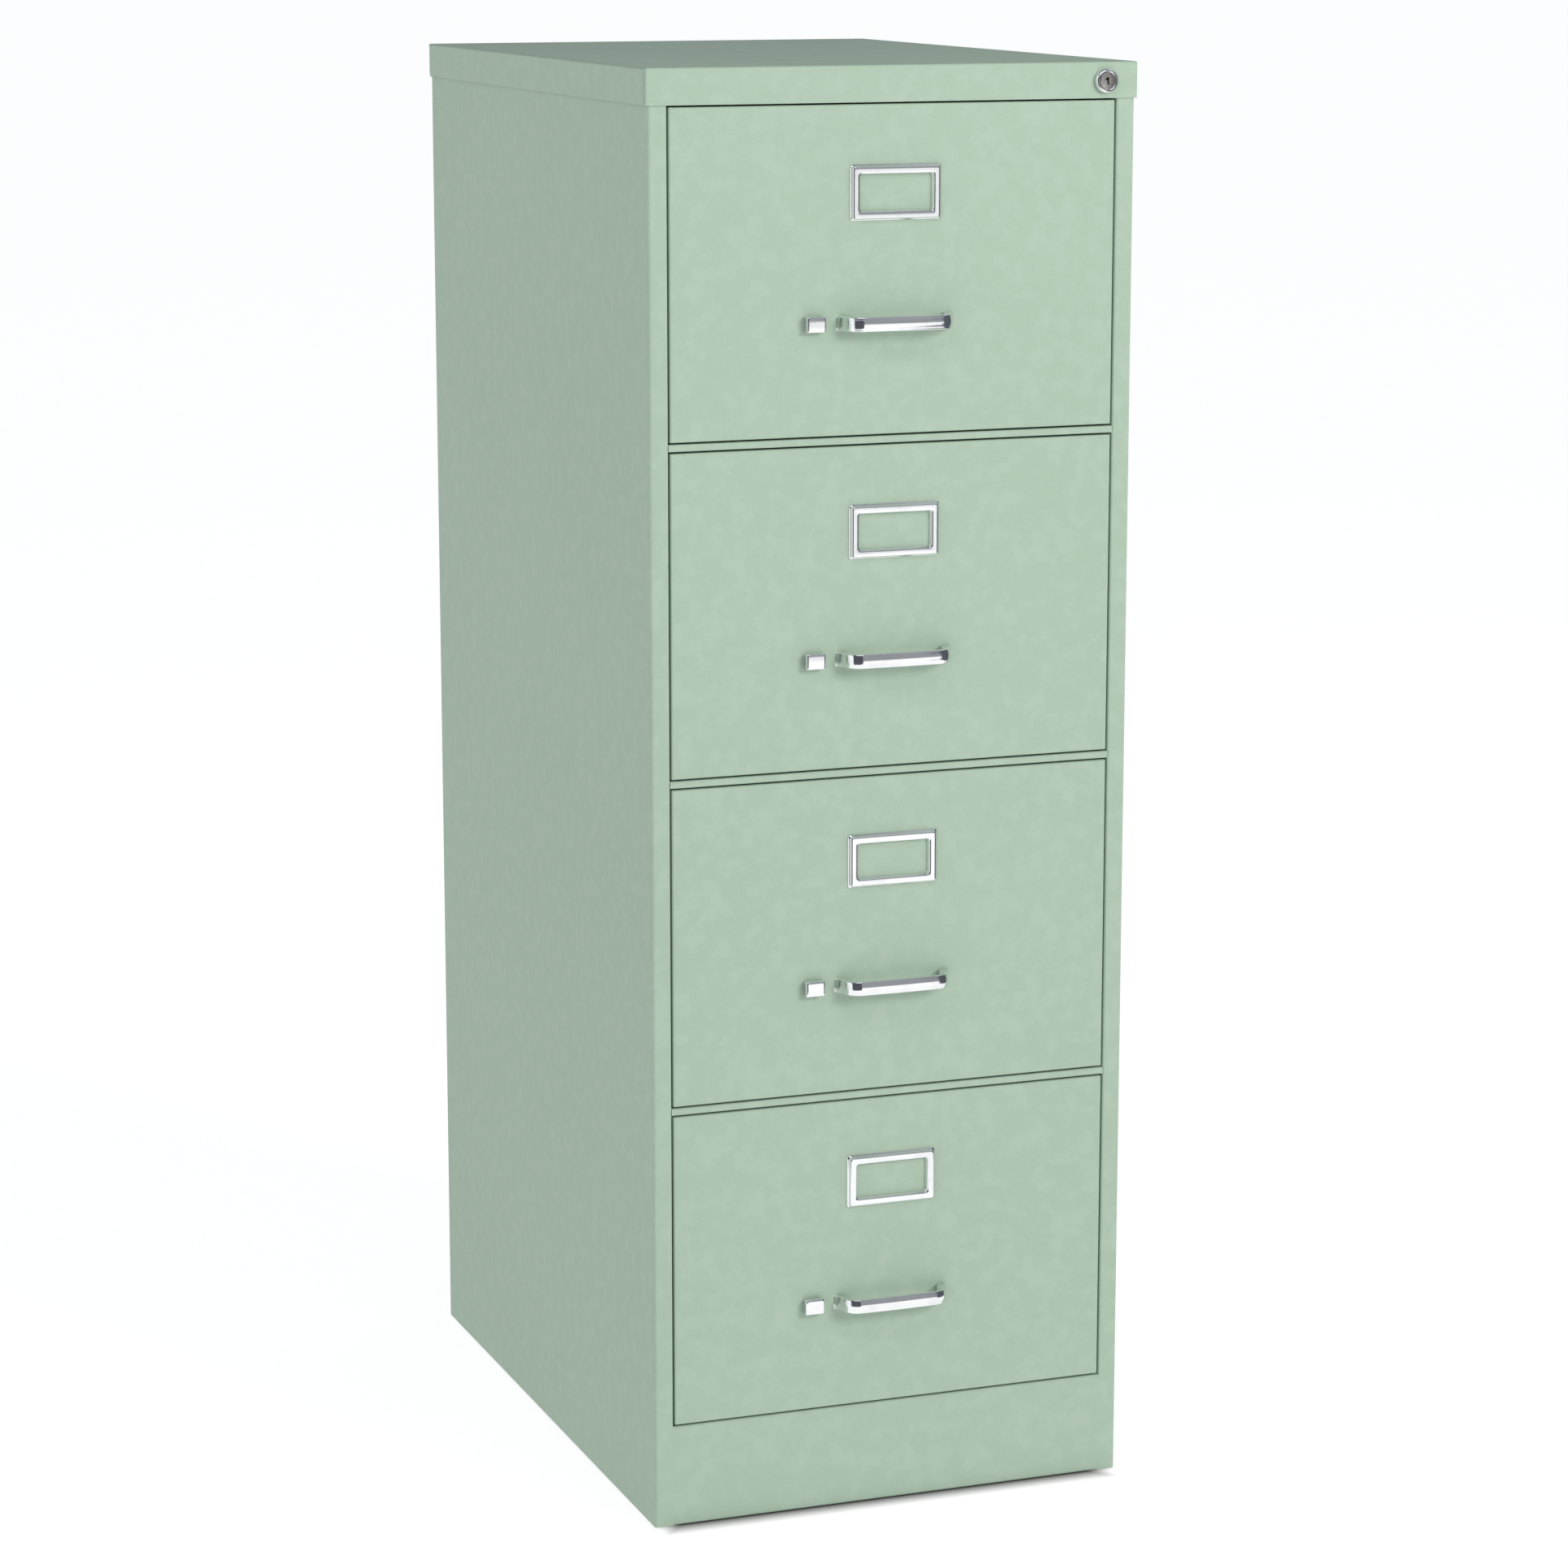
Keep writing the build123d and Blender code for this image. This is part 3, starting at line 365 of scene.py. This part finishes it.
def turned(mesh, profile, centre, axis, count=64):
    # lathe: profile points are (radius, distance along the axis); radius 0 closes an end
    turn = Vector((0, 0, 1)).rotation_difference(Vector(axis)).to_matrix()
    rows = []
    for radius, along in profile:
        if radius == 0:
            rows.append([mesh.verts.new(centre + turn @ Vector((0, 0, along)))])
            continue
        rows.append([mesh.verts.new(centre + turn @ Vector((
            radius * math.cos(2 * math.pi * i / count), radius * math.sin(2 * math.pi * i / count), along)))
            for i in range(count)])
    for near, far in zip(rows, rows[1:]):
        for i in range(count):
            j = (i + 1) % count
            if len(near) == 1:
                mesh.faces.new((near[0], far[j], far[i]))
            elif len(far) == 1:
                mesh.faces.new((near[i], near[j], far[0]))
            else:
                mesh.faces.new((near[i], near[j], far[j], far[i]))


def softBlock(mesh, low, high, radius, segments):
    # box with rounded edges
    made = bmesh.ops.create_cube(mesh, size=1.0)["verts"]
    size, centre = high - low, (high + low) / 2
    for vert in made:
        vert.co = centre + Vector((vert.co.x * size.x, vert.co.y * size.y, vert.co.z * size.z))
    edges = list({edge for vert in made for edge in vert.link_edges})
    bmesh.ops.bevel(mesh, geom=edges, offset=radius, segments=segments, profile=0.5, affect="EDGES")


# ---- pulls: a crowned strap, slightly bowed, whose two arms lean in and flare at the drawer
pullShape = {
    "arm": 8.0 * mm, "grip": 5.0 * mm, "flare": 2.4 * mm, "flareDepth": 10.0 * mm, "straighten": 7.0 * mm,
    "cornerRadius": 14.0 * mm, "lean": 8.0 * mm, "bow": 1.3 * mm, "crown": 1.2 * mm, "edge": 1.5 * mm,
    "edgeShare": 0.3,                                 # most of the thickness that an edge may take
    "gripHeight": 13.2 * mm, "footHeight": 14.8 * mm,
    "thinFrom": 0.45, "thinOver": 0.5,                # where the arm thins to the grip, as shares of the reach
    "armCrown": 0.2,                                  # crown on the arms, as a share of the grip's
    "armSteps": 22, "cornerSteps": 20, "gripSteps": 12, "faceSteps": 16,
}


def easeIn(value):
    value = min(max(value, 0.0), 1.0)
    return value * value * (3 - 2 * value)


def quarter(steps, first=0):
    # angles of a quarter turn
    return [math.pi / 2 * i / steps for i in range(first, steps + 1)]


def pullSection(point, outward, thickness, height, crown):
    # ring round the strap: crowned outside, rounded edges, flat inside
    half = height / 2
    edge = min(pullShape["edge"], thickness * pullShape["edgeShare"])
    face = [1 - 2 * i / pullShape["faceSteps"] for i in range(pullShape["faceSteps"] + 1)]
    ring = [(crown * v * v, v * (half - edge)) for v in face]              # outer face, top to bottom
    low = [(crown + edge * (1 - math.cos(a)), -half + edge * (1 - math.sin(a))) for a in quarter(5, 1)]
    back = [(thickness - edge * (1 - math.sin(a)), -half + edge * (1 - math.cos(a))) for a in quarter(4)]
    back += [(thickness, -half + edge + (height - 2 * edge) * i / 6) for i in (1, 2)]
    ring += low[:-1] + [(low[-1][0], -half)] + back
    ring += [(depth, -up) for depth, up in reversed(back)]
    ring += [(depth, -up) for depth, up in reversed(low)]
    return [Vector((point.x - outward.x * depth, point.y - outward.y * depth, point.z + up))
            for depth, up in ring]


def pullPath(halfBase, reach):
    # outer line of half the bow, from the foot to the middle
    lean, radius, bow, flare = (pullShape[key] for key in ("lean", "cornerRadius", "bow", "flare"))
    corner = Vector((-(halfBase - lean), -reach + bow, 0))
    foot = Vector((-(halfBase - flare), 0, 0))
    up = (corner - foot).normalized()
    gripAngle = 2 * math.atan(bow / -corner.x)         # half of the bowed face's arc
    gripRadius = -corner.x / math.sin(gripAngle)
    turn = math.acos(up.x) - gripAngle                 # angle between the arm and the grip's end
    along = Vector((math.cos(gripAngle), -math.sin(gripAngle), 0))
    back = radius * math.tan(turn / 2)
    armEnd, gripStart = corner - up * back, corner + along * back
    centre = gripStart + Vector((math.sin(gripAngle), math.cos(gripAngle), 0)) * radius
    points = []
    for i in range(pullShape["armSteps"]):
        point = foot.lerp(armEnd, i / pullShape["armSteps"])
        point.x -= flare * max(0.0, 1 + point.y / pullShape["flareDepth"]) ** 2
        points.append(point)
    for i in range(pullShape["cornerSteps"] + 1):
        angle = gripAngle + (1 - i / pullShape["cornerSteps"]) * turn
        points.append(centre - Vector((math.sin(angle), math.cos(angle), 0)) * radius)
    startAngle = math.asin(-gripStart.x / gripRadius)
    for i in range(1, pullShape["gripSteps"] + 1):
        angle = startAngle * (1 - i / pullShape["gripSteps"])
        points.append(Vector((-math.sin(angle), 1 - math.cos(angle), 0)) * gripRadius - Vector((0, reach, 0)))
    return points


def makePull(number):
    low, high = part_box(f"pull_{number}")
    middle, faceY, reach = (low.z + high.z) / 2, high.y, high.y - low.y
    half = pullPath((high.x - low.x) / 2, reach)
    line = half + [Vector((-point.x, point.y, 0)) for point in half[-2::-1]]
    rings = []
    for i, point in enumerate(line):
        run = line[min(i + 1, len(line) - 1)] - line[max(i - 1, 0)]
        normal = Vector((run.y, -run.x, 0)).normalized()
        sideways = Vector((math.copysign(1.0, point.x), 0, 0))
        away = -point.y / reach                       # 0 at the drawer, 1 at the grip
        outward = sideways.lerp(normal, easeIn(-point.y / pullShape["straighten"])).normalized()
        bend = easeIn((away - pullShape["thinFrom"]) / pullShape["thinOver"])
        thick = pullShape["arm"] + (pullShape["grip"] - pullShape["arm"]) * bend
        taller = pullShape["footHeight"] - pullShape["gripHeight"]
        height = pullShape["gripHeight"] + taller * (1 - away) ** 2
        at = Vector((point.x, point.y + faceY, middle))
        crown = pullShape["armCrown"] + (1 - pullShape["armCrown"]) * bend
        rings.append(pullSection(at, outward, thick, height, pullShape["crown"] * crown))
    mesh = bmesh.new()
    rows = skin(mesh, rings)
    mesh.faces.new(rows[0])
    mesh.faces.new(rows[-1])
    piece = finishMesh(f"bowPull_{number}", mesh, "chrome", 50.0)
    seat(piece, f"drawer_{number}", "chrome", f"pull_{number}")


# ---- label holders: a pressed frame with a sloped rim, a flat face and a rolled window
holderShape = {
    # inset from the outline, height above the drawer, corner radius
    "outer": ((0.0, 0.0, 3.0), (0.0, 0.55, 3.0), (0.25, 0.95, 2.9), (1.35, 1.75, 2.5), (1.75, 2.1, 2.3),
              (2.0, 3.1, 2.2), (2.25, 3.75, 2.1), (2.75, 4.12, 2.0), (3.3, 4.2, 1.9)),
    "inner": ((7.1, 4.2, 2.9), (7.75, 4.05, 2.7), (8.3, 3.5, 2.6), (8.7, 2.4, 2.5), (9.2, 1.2, 2.4),
              (9.5, 0.8, 2.3)),
    "under": ((9.5, 0.0, 2.3), (8.9, 0.0, 2.4), (8.9, 0.75, 2.4), (3.2, 0.75, 2.2), (3.2, 0.0, 2.2)),
    "cornerSteps": 7,
}


def roundedLoop(width, height, radius):
    # loop of (x, z) points round a rectangle with round corners
    steps = holderShape["cornerSteps"]
    loop = []
    for corner in range(4):
        sx, sz = ((1, 1), (-1, 1), (-1, -1), (1, -1))[corner]
        for i in range(steps + 1):
            angle = math.pi / 2 * (corner + i / steps)
            loop.append((sx * (width / 2 - radius) + radius * math.cos(angle),
                         sz * (height / 2 - radius) + radius * math.sin(angle)))
    return loop


def makeLabelHolder(number):
    low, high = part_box(f"label_holder_{number}")
    width, height = high.x - low.x, high.z - low.z
    middle = (low.z + high.z) / 2
    mesh = bmesh.new()
    rings = []
    for inset, rise, radius in holderShape["outer"] + holderShape["inner"] + holderShape["under"]:
        loop = roundedLoop(width - 2 * inset * mm, height - 2 * inset * mm, radius * mm)
        rings.append([Vector((x, frontY - rise * mm, middle + z)) for x, z in loop])
    skin(mesh, rings, closed=True)
    piece = finishMesh(f"labelFrame_{number}", mesh, "chrome", 48.0)
    seat(piece, f"drawer_{number}", "chrome", f"label_holder_{number}")


# ---- thumb latch buttons: crowned cap, soft edges, shank through the front's slot
buttonShape = {
    "edge": 1.5 * mm, "crown": 0.52 * mm, "gap": 0.3 * mm, "segments": 5, "cuts": 10, "cutLength": 6.0 * mm,
    "shank": (6.0 * mm, 7.0 * mm), "shankOffset": 4.0 * mm, "shankEdge": 0.4 * mm, "shankSunk": 1.0 * mm,
}


def makeThumbButton(number):
    low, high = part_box(f"thumb_button_{number}")
    mesh = bmesh.new()
    backY = frontY - buttonShape["gap"]
    half = (high.z - low.z) / 2
    middle = (high.z + low.z) / 2
    crown = buttonShape["crown"]
    softBlock(mesh, Vector((low.x, low.y + crown, low.z)), Vector((high.x, backY, high.z)),
              buttonShape["edge"], buttonShape["segments"])
    longEdges = [edge for edge in mesh.edges if edge.calc_length() > buttonShape["cutLength"]]
    bmesh.ops.subdivide_edges(mesh, edges=longEdges, cuts=buttonShape["cuts"], use_grid_fill=True)
    for vert in mesh.verts:                           # crown the face about a line along X
        share = (backY - vert.co.y) / (backY - low.y)
        v = (vert.co.z - middle) / half
        vert.co.y -= crown * max(share, 0.0) ** 2 * (1 - v * v)
        vert.co.y = max(vert.co.y, low.y)
    shankX = high.x - (high.x - low.x) / 2 - buttonShape["shankOffset"]
    wide, tall = buttonShape["shank"]
    softBlock(mesh, Vector((shankX - wide / 2, backY - buttonShape["shankSunk"], middle - tall / 2)),
              Vector((shankX + wide / 2, high.y, middle + tall / 2)), buttonShape["shankEdge"], 2)
    piece = finishMesh(f"thumbButton_{number}", mesh, "chrome", 40.0)
    seat(piece, f"latch_{number}", "chrome", f"thumb_button_{number}")


# ---- lock: domed bezel on a threaded barrel, and a plug with a warded keyway
lockShape = {
    "skirt": 0.30,                                    # straight side of the bezel, as a share of its reach
    "lip": 0.9 * mm, "lipDrop": 0.35 * mm, "boreGap": 0.06 * mm, "domeSteps": 14, "footEdge": 0.2 * mm,
    "barrel": 9.4 * mm, "pitch": 1.0 * mm, "cut": 0.45 * mm, "threadStart": 3.5 * mm,
    "chamfer": 0.5 * mm, "recess": 0.55 * mm, "keywayFlare": 0.22 * mm, "keywayLip": 0.25 * mm,
    "wardRadius": 0.6 * mm, "wardRise": 0.36 * mm, "wardRoot": 0.1 * mm, "wards": ((0.4, -4.15), (0.0, 4.2)),
    "keyway": ((-1.1, 3.2), (1.2, 3.2), (1.2, -3.2), (-0.4, -3.2), (-0.4, 0.3), (-2.1, 0.3), (-2.1, 2.1),
               (-1.1, 2.1)),
    "keywayDepth": 13.0 * mm,
}
plugRadius = (lockHigh.x - lockLow.x) / 2


def makeLockHousing():
    low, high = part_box("lock_housing")
    faceY = capLow.y                                  # the fascia's face
    centre = Vector((lockCentre.x, faceY, lockCentre.z))
    depth, reach, outer = high.y - faceY, faceY - low.y, (high.x - low.x) / 2
    bore, lip, barrel = plugRadius + lockShape["boreGap"], lockShape["lip"], lockShape["barrel"]
    skirt, lipTop, footEdge = reach * lockShape["skirt"], reach - lockShape["lipDrop"], lockShape["footEdge"]
    profile = [(bore, -depth), (bore, lipTop - lockShape["lipDrop"]), (bore + lip / 4, lipTop)]
    for angle in reversed(quarter(lockShape["domeSteps"])):
        profile.append((bore + lip + (outer - bore - lip) * math.cos(angle),
                        skirt + (reach - skirt) * math.sin(angle)))
    profile += [(outer, footEdge), (outer - footEdge, 0.0), (barrel, 0.0)]
    pitch, cut, start = lockShape["pitch"], lockShape["cut"], lockShape["threadStart"]
    turns = int((depth - start - pitch) / pitch)
    for i in range(turns):
        profile += [(barrel, -(start + i * pitch)), (barrel - cut, -(start + (i + 0.5) * pitch))]
    profile += [(barrel, -(start + turns * pitch)), (barrel, -depth), (bore, -depth)]
    mesh = bmesh.new()
    turned(mesh, profile, centre, (0, -1, 0), 96)
    piece = finishMesh("lockBezel", mesh, "chrome", 40.0)
    seat(piece, "case", "chrome", "lock_housing")


def makeLockPlug():
    mesh = bmesh.new()
    chamfer, count = lockShape["chamfer"], 72
    faceY = lockLow.y + lockShape["recess"]

    def rim(size, y):
        return [Vector((lockCentre.x + size * math.cos(2 * math.pi * i / count), y,
                        lockCentre.z + size * math.sin(2 * math.pi * i / count))) for i in range(count)]

    rows = skin(mesh, [rim(plugRadius - chamfer, faceY), rim(plugRadius - chamfer / 4, faceY + chamfer / 4),
                       rim(plugRadius, faceY + chamfer), rim(plugRadius, lockHigh.y)])
    mesh.faces.new(rows[-1])
    slotRings = []
    for grow, depth in ((lockShape["keywayFlare"], 0.0), (0.0, lockShape["keywayLip"]),
                        (0.0, lockShape["keywayDepth"])):
        slotRings.append([Vector((lockCentre.x + x * mm + math.copysign(grow, x), faceY + depth,
                                  lockCentre.z + z * mm + math.copysign(grow, z)))
                          for x, z in lockShape["keyway"]])
    slotRows = skin(mesh, slotRings)
    mesh.faces.new(slotRows[-1])
    outline = [mesh.edges.get((row[i], row[(i + 1) % len(row)])) for row in (rows[0], slotRows[0])
               for i in range(len(row))]
    bmesh.ops.triangle_fill(mesh, use_beauty=True, use_dissolve=False, edges=outline)
    for x, z in lockShape["wards"]:                   # polished studs above and below the keyway
        radius, rise, root = lockShape["wardRadius"], lockShape["wardRise"], lockShape["wardRoot"]
        centre = Vector((lockCentre.x + x * mm, faceY, lockCentre.z + z * mm))
        dome = [(radius * math.cos(a), rise * math.sin(a)) for a in quarter(4)[:-1]] + [(0, rise)]
        turned(mesh, [(0, -root), (radius, -root)] + dome, centre, (0, -1, 0), 16)
    piece = finishMesh("keyPlug", mesh, "nickel", 30.0)
    seat(piece, "lock_cylinder", "lock_nickel", "lock_plug")


# ---- leveling glides: nylon foot, hex flange and a threaded stem; sizes in millimetres
glideShape = {
    "pad": 12.5, "padTop": 5.0,
    # inset from the pad's edge, height
    "padProfile": ((2.0, 0), (0.5, 0.4), (0, 1.3), (0.2, 2.6), (1.5, 3.9), (4.5, 4.7), (6.0, 5.0)),
    "flats": 13.0, "hexTop": 12.0, "hexProfile": ((-0.5, 5.01), (0.0, 5.5), (0.0, 11.3), (-0.5, 11.8)),
    "stem": 4.0, "stemTop": 24.0, "tipCut": 0.6,
    "pitch": 1.25, "cut": 0.5, "threadStart": 12.4, "threadEnd": 23.0,
}


def scaled(points):
    # millimetres to metres
    return [(first * mm, second * mm) for first, second in points]


def makeGlideFoot(name, centre):
    mesh = bmesh.new()
    profile = [(glideShape["pad"] - inset, height) for inset, height in glideShape["padProfile"]]
    turned(mesh, scaled([(0, 0)] + profile + [(0, glideShape["padTop"])]), centre, (0, 0, 1), 48)
    return seat(finishMesh(name, mesh, "nylon", 40.0), "case", "zinc_steel")


def makeGlideStem(name, centre):
    mesh = bmesh.new()
    stem, top, cut = glideShape["stem"], glideShape["stemTop"], glideShape["cut"]
    profile = [(0, glideShape["padTop"]), (stem, glideShape["padTop"]), (stem, glideShape["hexTop"])]
    height = glideShape["threadStart"]
    while height < glideShape["threadEnd"]:
        profile += [(stem - cut, height), (stem, height + glideShape["pitch"] / 2)]
        height += glideShape["pitch"]
    profile += [(stem - glideShape["tipCut"], top), (0, top)]
    turned(mesh, scaled(profile), centre, (0, 0, 1), 32)
    corner = glideShape["flats"] / 2 / math.cos(math.pi / 6)
    rings = []
    for grow, height in scaled(glideShape["hexProfile"]):
        radius = corner * mm + grow
        rings.append([centre + Vector((radius * math.cos(angle), radius * math.sin(angle), height))
                      for angle in (math.pi / 3 * i for i in range(6))])
    rows = skin(mesh, rings)
    mesh.faces.new(rows[0])
    mesh.faces.new(rows[-1])
    seat(finishMesh(name, mesh, "zinc", 30.0), "case", "zinc_steel")


def makeGlides():
    low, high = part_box("leveling_glides")
    inset = glideShape["pad"] * mm
    for row, y in enumerate((low.y + inset, high.y - inset)):
        for side, x in enumerate((low.x + inset, high.x - inset)):
            centre = Vector((x, y, low.z))
            makeGlideFoot(f"glideFoot_{row}{side}", centre)
            makeGlideStem(f"glideStem_{row}{side}", centre)
    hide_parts("leveling_glides")


# ---- ball cages: pierced strips with their balls
cageShape = {
    "width": 8.0 * mm, "sheet": 0.8 * mm, "edge": 0.25 * mm, "ball": 1.9 * mm, "count": 7,
    "collar": 0.7 * mm, "collarTop": 0.5 * mm, "collarRise": 0.35 * mm, "collarGrip": 0.99, "rowStep": 5.5 * mm,
}


def cageRow(mesh, balls, centreX, centreZ, startY, length):
    # one strip with a pocket collar round each ball
    wide, thin = cageShape["width"] / 2, cageShape["sheet"] / 2
    softBlock(mesh, Vector((centreX - wide, startY, centreZ - thin)),
              Vector((centreX + wide, startY + length, centreZ + thin)), cageShape["edge"], 1)
    ball, top = cageShape["ball"], thin + cageShape["collarRise"]
    upper = [(ball + cageShape["collar"], thin), (ball + cageShape["collarTop"], top),
             (ball * cageShape["collarGrip"], top)]
    collar = [(radius, -up) for radius, up in reversed(upper)] + upper
    pitch = length / cageShape["count"]
    for i in range(cageShape["count"]):
        centre = Vector((centreX, startY + (i + 0.5) * pitch, centreZ))
        turned(mesh, collar + collar[:1], centre, (0, 0, 1), 20)
        where = Matrix.Translation(centre)
        bmesh.ops.create_uvsphere(balls, u_segments=20, v_segments=12, radius=ball, matrix=where)


def makeBallCages(number):
    low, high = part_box(f"ball_cages_{number}")
    strips, balls = bmesh.new(), bmesh.new()
    middle = (low.z + high.z) / 2
    outer = high.z - cageShape["ball"] - middle
    inner = outer - cageShape["rowStep"]
    length = (high.y - low.y) / 2
    for side in (-1, 1):
        x = side * (high.x - cageShape["width"] / 2)
        for sign in (-1, 1):
            cageRow(strips, balls, x, middle + sign * outer, high.y - length, length)
            cageRow(strips, balls, x, middle + sign * inner, low.y, length)
    strip = finishMesh(f"ballRetainer_{number}", strips, "zinc", 35.0)
    ballSet = finishMesh(f"ballSet_{number}", balls, "ball", 60.0)
    seat(strip, f"slide_mid_{number}", "bearing_steel", f"ball_cages_{number}")
    seat(ballSet, f"slide_mid_{number}", "bearing_steel")


# ---- rivets through the tray's sides into the slides
rivetShape = {
    "head": 3.6 * mm, "rise": 1.2 * mm, "root": 0.1 * mm, "places": (0.08, 0.36, 0.64, 0.92),
    "arc": (0.3, 0.6, 0.9, 1.2, 1.45),                # angles of the domed head's rings
    "inset": 13.8 * mm,                               # of the rivets from the slide's outer face
}


def makeTrayRivets(number):
    low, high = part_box(f"slide_inner_{number}")
    mesh = bmesh.new()
    head, rise = rivetShape["head"], rivetShape["rise"]
    profile = [(0, -rivetShape["root"]), (head, 0.0)]
    profile += [(head * math.cos(a), rise * math.sin(a)) for a in rivetShape["arc"]] + [(0, rise)]
    for side in (-1, 1):
        for share in rivetShape["places"]:
            y = low.y + (high.y - low.y) * share
            centre = Vector((side * (high.x - rivetShape["inset"]), y, (low.z + high.z) / 2))
            turned(mesh, profile, centre, (-side, 0, 0), 24)
    seat(finishMesh(f"trayRivets_{number}", mesh, "zinc", 50.0), f"drawer_{number}", "zinc_steel")


for n in drawers:
    makePull(n)
    makeLabelHolder(n)
    makeThumbButton(n)
    makeBallCages(n)
    makeTrayRivets(n)
makeLockHousing()
makeLockPlug()
makeGlides()
print("fittings made")

# ---- finishes on the carried-over nodes
paintedCase = ["side_panel_left", "side_panel_right", "back_panel", "top_cap", "base_panel", "front_rails"]
nodeFinish = {name: "casePaint" for name in paintedCase}
nodeFinish |= {f"drawer_front_{n}": "casePaint" for n in drawers}
nodeFinish |= {f"drawer_tray_{n}": "trayPaint" for n in drawers}
nodeFinish |= {f"follower_plate_{n}": "trayPaint" for n in drawers}
nodeFinish |= {name: "zincUpright" for name in ("slide_uprights", "lock_bar", "cross_members")}
for name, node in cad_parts.items():
    finish = finishes[nodeFinish.get(name, "zinc")]
    node.data.materials.clear()
    node.data.materials.append(finish)
print("carried-over nodes painted")

# ---- studio: pale floor, soft light, camera
studio = {
    "floorSide": 400.0, "floorGlow": 0.86, "floorTone": rgba(0.30, 0.30, 0.30), "paintedShadowRim": 30.0 * mm,
    "skyLeft": rgba(1.05, 1.06, 1.08), "skyRound": rgba(0.33, 0.34, 0.36),
    "skyAbove": rgba(0.235, 0.25, 0.28), "skyAboveRight": rgba(0.62, 0.64, 0.67),
    # where each part of the sky fades in, as directions' X or Z
    "leftEdge": (-0.25, -0.75), "aboveEdge": (0.35, 0.75), "rightEdge": (0.20, 0.62),
    "lights": {
        "keySoftbox": {"at": (2.6, -4.6, 3.0), "aim": (0, 0, 0.75), "size": (2.2, 1.8), "power": 172.0,
                       "colour": (1.0, 0.955, 0.90), "seen": False},
        "topSoftbox": {"at": (-0.4, -2.6, 3.9), "aim": (0, 0, 0.9), "size": (3.0, 0.9), "power": 26.0,
                       "colour": (0.96, 0.98, 1.0), "seen": True},
    },
    "cardTone": rgba(0.12, 0.13, 0.15),
    "cards": {                                        # dark cards that only the bright metal sees
        "cardLeft": {"at": (-0.53, -1.43, 0.95), "size": (1.75, 1.9)},
        "cardRight": {"at": (1.09, -0.86, 0.95), "size": (1.65, 1.9)},
    },
}
camera = {
    "from": (-1.470, -3.671, 1.468), "along": (0.3419, 0.9192, -0.1956),
    "lens": 102.6, "sensor": 36.0, "far": 500.0,
}


def plate(name, width, height, at, facing):
    data = bpy.data.meshes.new(name)
    x, y = width / 2, height / 2
    data.from_pydata([(-x, -y, 0), (x, -y, 0), (x, y, 0), (-x, y, 0)], [], [(0, 1, 2, 3)])
    made = bpy.data.objects.new(name, data)
    bpy.context.scene.collection.objects.link(made)
    made.location = at
    made.rotation_mode = "QUATERNION"
    made.rotation_quaternion = Vector(facing).to_track_quat("Z", "Y")
    return made


def makeFloor():
    # the paper glows evenly, except for a painted shadow under the cabinet, where its glow is masked to black
    floor = plate("studioFloor", studio["floorSide"], studio["floorSide"], (0, 0, cadBox[0].z), (0, 0, 1))
    paper = Finish("studioPaper", Base_Color=studio["floorTone"], Roughness=1.0, Specular_IOR_Level=0.0,
                   Emission_Strength=studio["floorGlow"])
    rim = studio["paintedShadowRim"]
    # painted shadow: the glow is black over the cabinet's footprint and fades to white across the rim; it also
    # darkens the drawer gaps and the inside
    sideways = paper.span(paper.part(0).size(), capHigh.x - rim, capHigh.x)
    lengthways = paper.span((paper.part(1) - (frontY + capHigh.y) / 2).size(),
                            (capHigh.y - frontY) / 2 - rim, (capHigh.y - frontY) / 2)
    paper.feed("Emission Color", paper.blend(sideways.larger(lengthways), rgba(0, 0, 0), rgba(1, 1, 1)))
    floor.data.materials.append(paper.material)


def makeCard(name, facts):
    where = Vector(facts["at"])
    card = plate(name, *facts["size"], where, Vector((0, frontY, where.z)) - where)
    cloth = Finish(name + "Cloth", Base_Color=studio["cardTone"], Roughness=1.0, Specular_IOR_Level=0.0)
    card.data.materials.append(cloth.material)
    card.visible_camera = card.visible_diffuse = card.visible_shadow = False


def makeLight(name, facts):
    lamp = bpy.data.lights.new(name, "AREA")
    lamp.shape = "RECTANGLE"
    lamp.size, lamp.size_y = facts["size"]
    lamp.energy = facts["power"]
    lamp.color = facts["colour"]
    made = bpy.data.objects.new(name, lamp)
    made.visible_glossy = facts["seen"]
    made.location = facts["at"]
    made.rotation_mode = "QUATERNION"
    made.rotation_quaternion = (Vector(facts["aim"]) - Vector(facts["at"])).to_track_quat("-Z", "Y")
    bpy.context.scene.collection.objects.link(made)


def makeSky():
    # bright low on the left, dim elsewhere, a little lighter high on the right
    world = bpy.data.worlds.new("studioSky")
    bpy.context.scene.world = world
    world.use_nodes = True
    sky = NodeBench(world.node_tree, "Generated")
    back = next(n for n in sky.tree.nodes if n.type == "BACKGROUND")
    tone = sky.blend(sky.span(sky.part(0), *studio["leftEdge"]), studio["skyRound"], studio["skyLeft"])
    above = sky.blend(sky.span(sky.part(0), *studio["rightEdge"]), studio["skyAbove"], studio["skyAboveRight"])
    tone = sky.blend(sky.span(sky.part(2), *studio["aboveEdge"]), tone, above)
    sky.tree.links.new(tone.socket, back.inputs[0])


def makeCamera():
    data = bpy.data.cameras.new("studioCamera")
    data.lens, data.sensor_width, data.clip_end = camera["lens"], camera["sensor"], camera["far"]
    made = bpy.data.objects.new("studioCamera", data)
    made.location = Vector((0, frontY, cadBox[0].z)) + Vector(camera["from"])
    made.rotation_mode = "QUATERNION"
    made.rotation_quaternion = Vector(camera["along"]).to_track_quat("-Z", "Y")
    bpy.context.scene.collection.objects.link(made)
    bpy.context.scene.camera = made


makeFloor()
for cardName, cardFacts in studio["cards"].items():
    makeCard(cardName, cardFacts)
for lightName, lightFacts in studio["lights"].items():
    makeLight(lightName, lightFacts)
makeSky()
makeCamera()
bpy.context.scene.view_settings.view_transform = "Standard"
print("studio set")
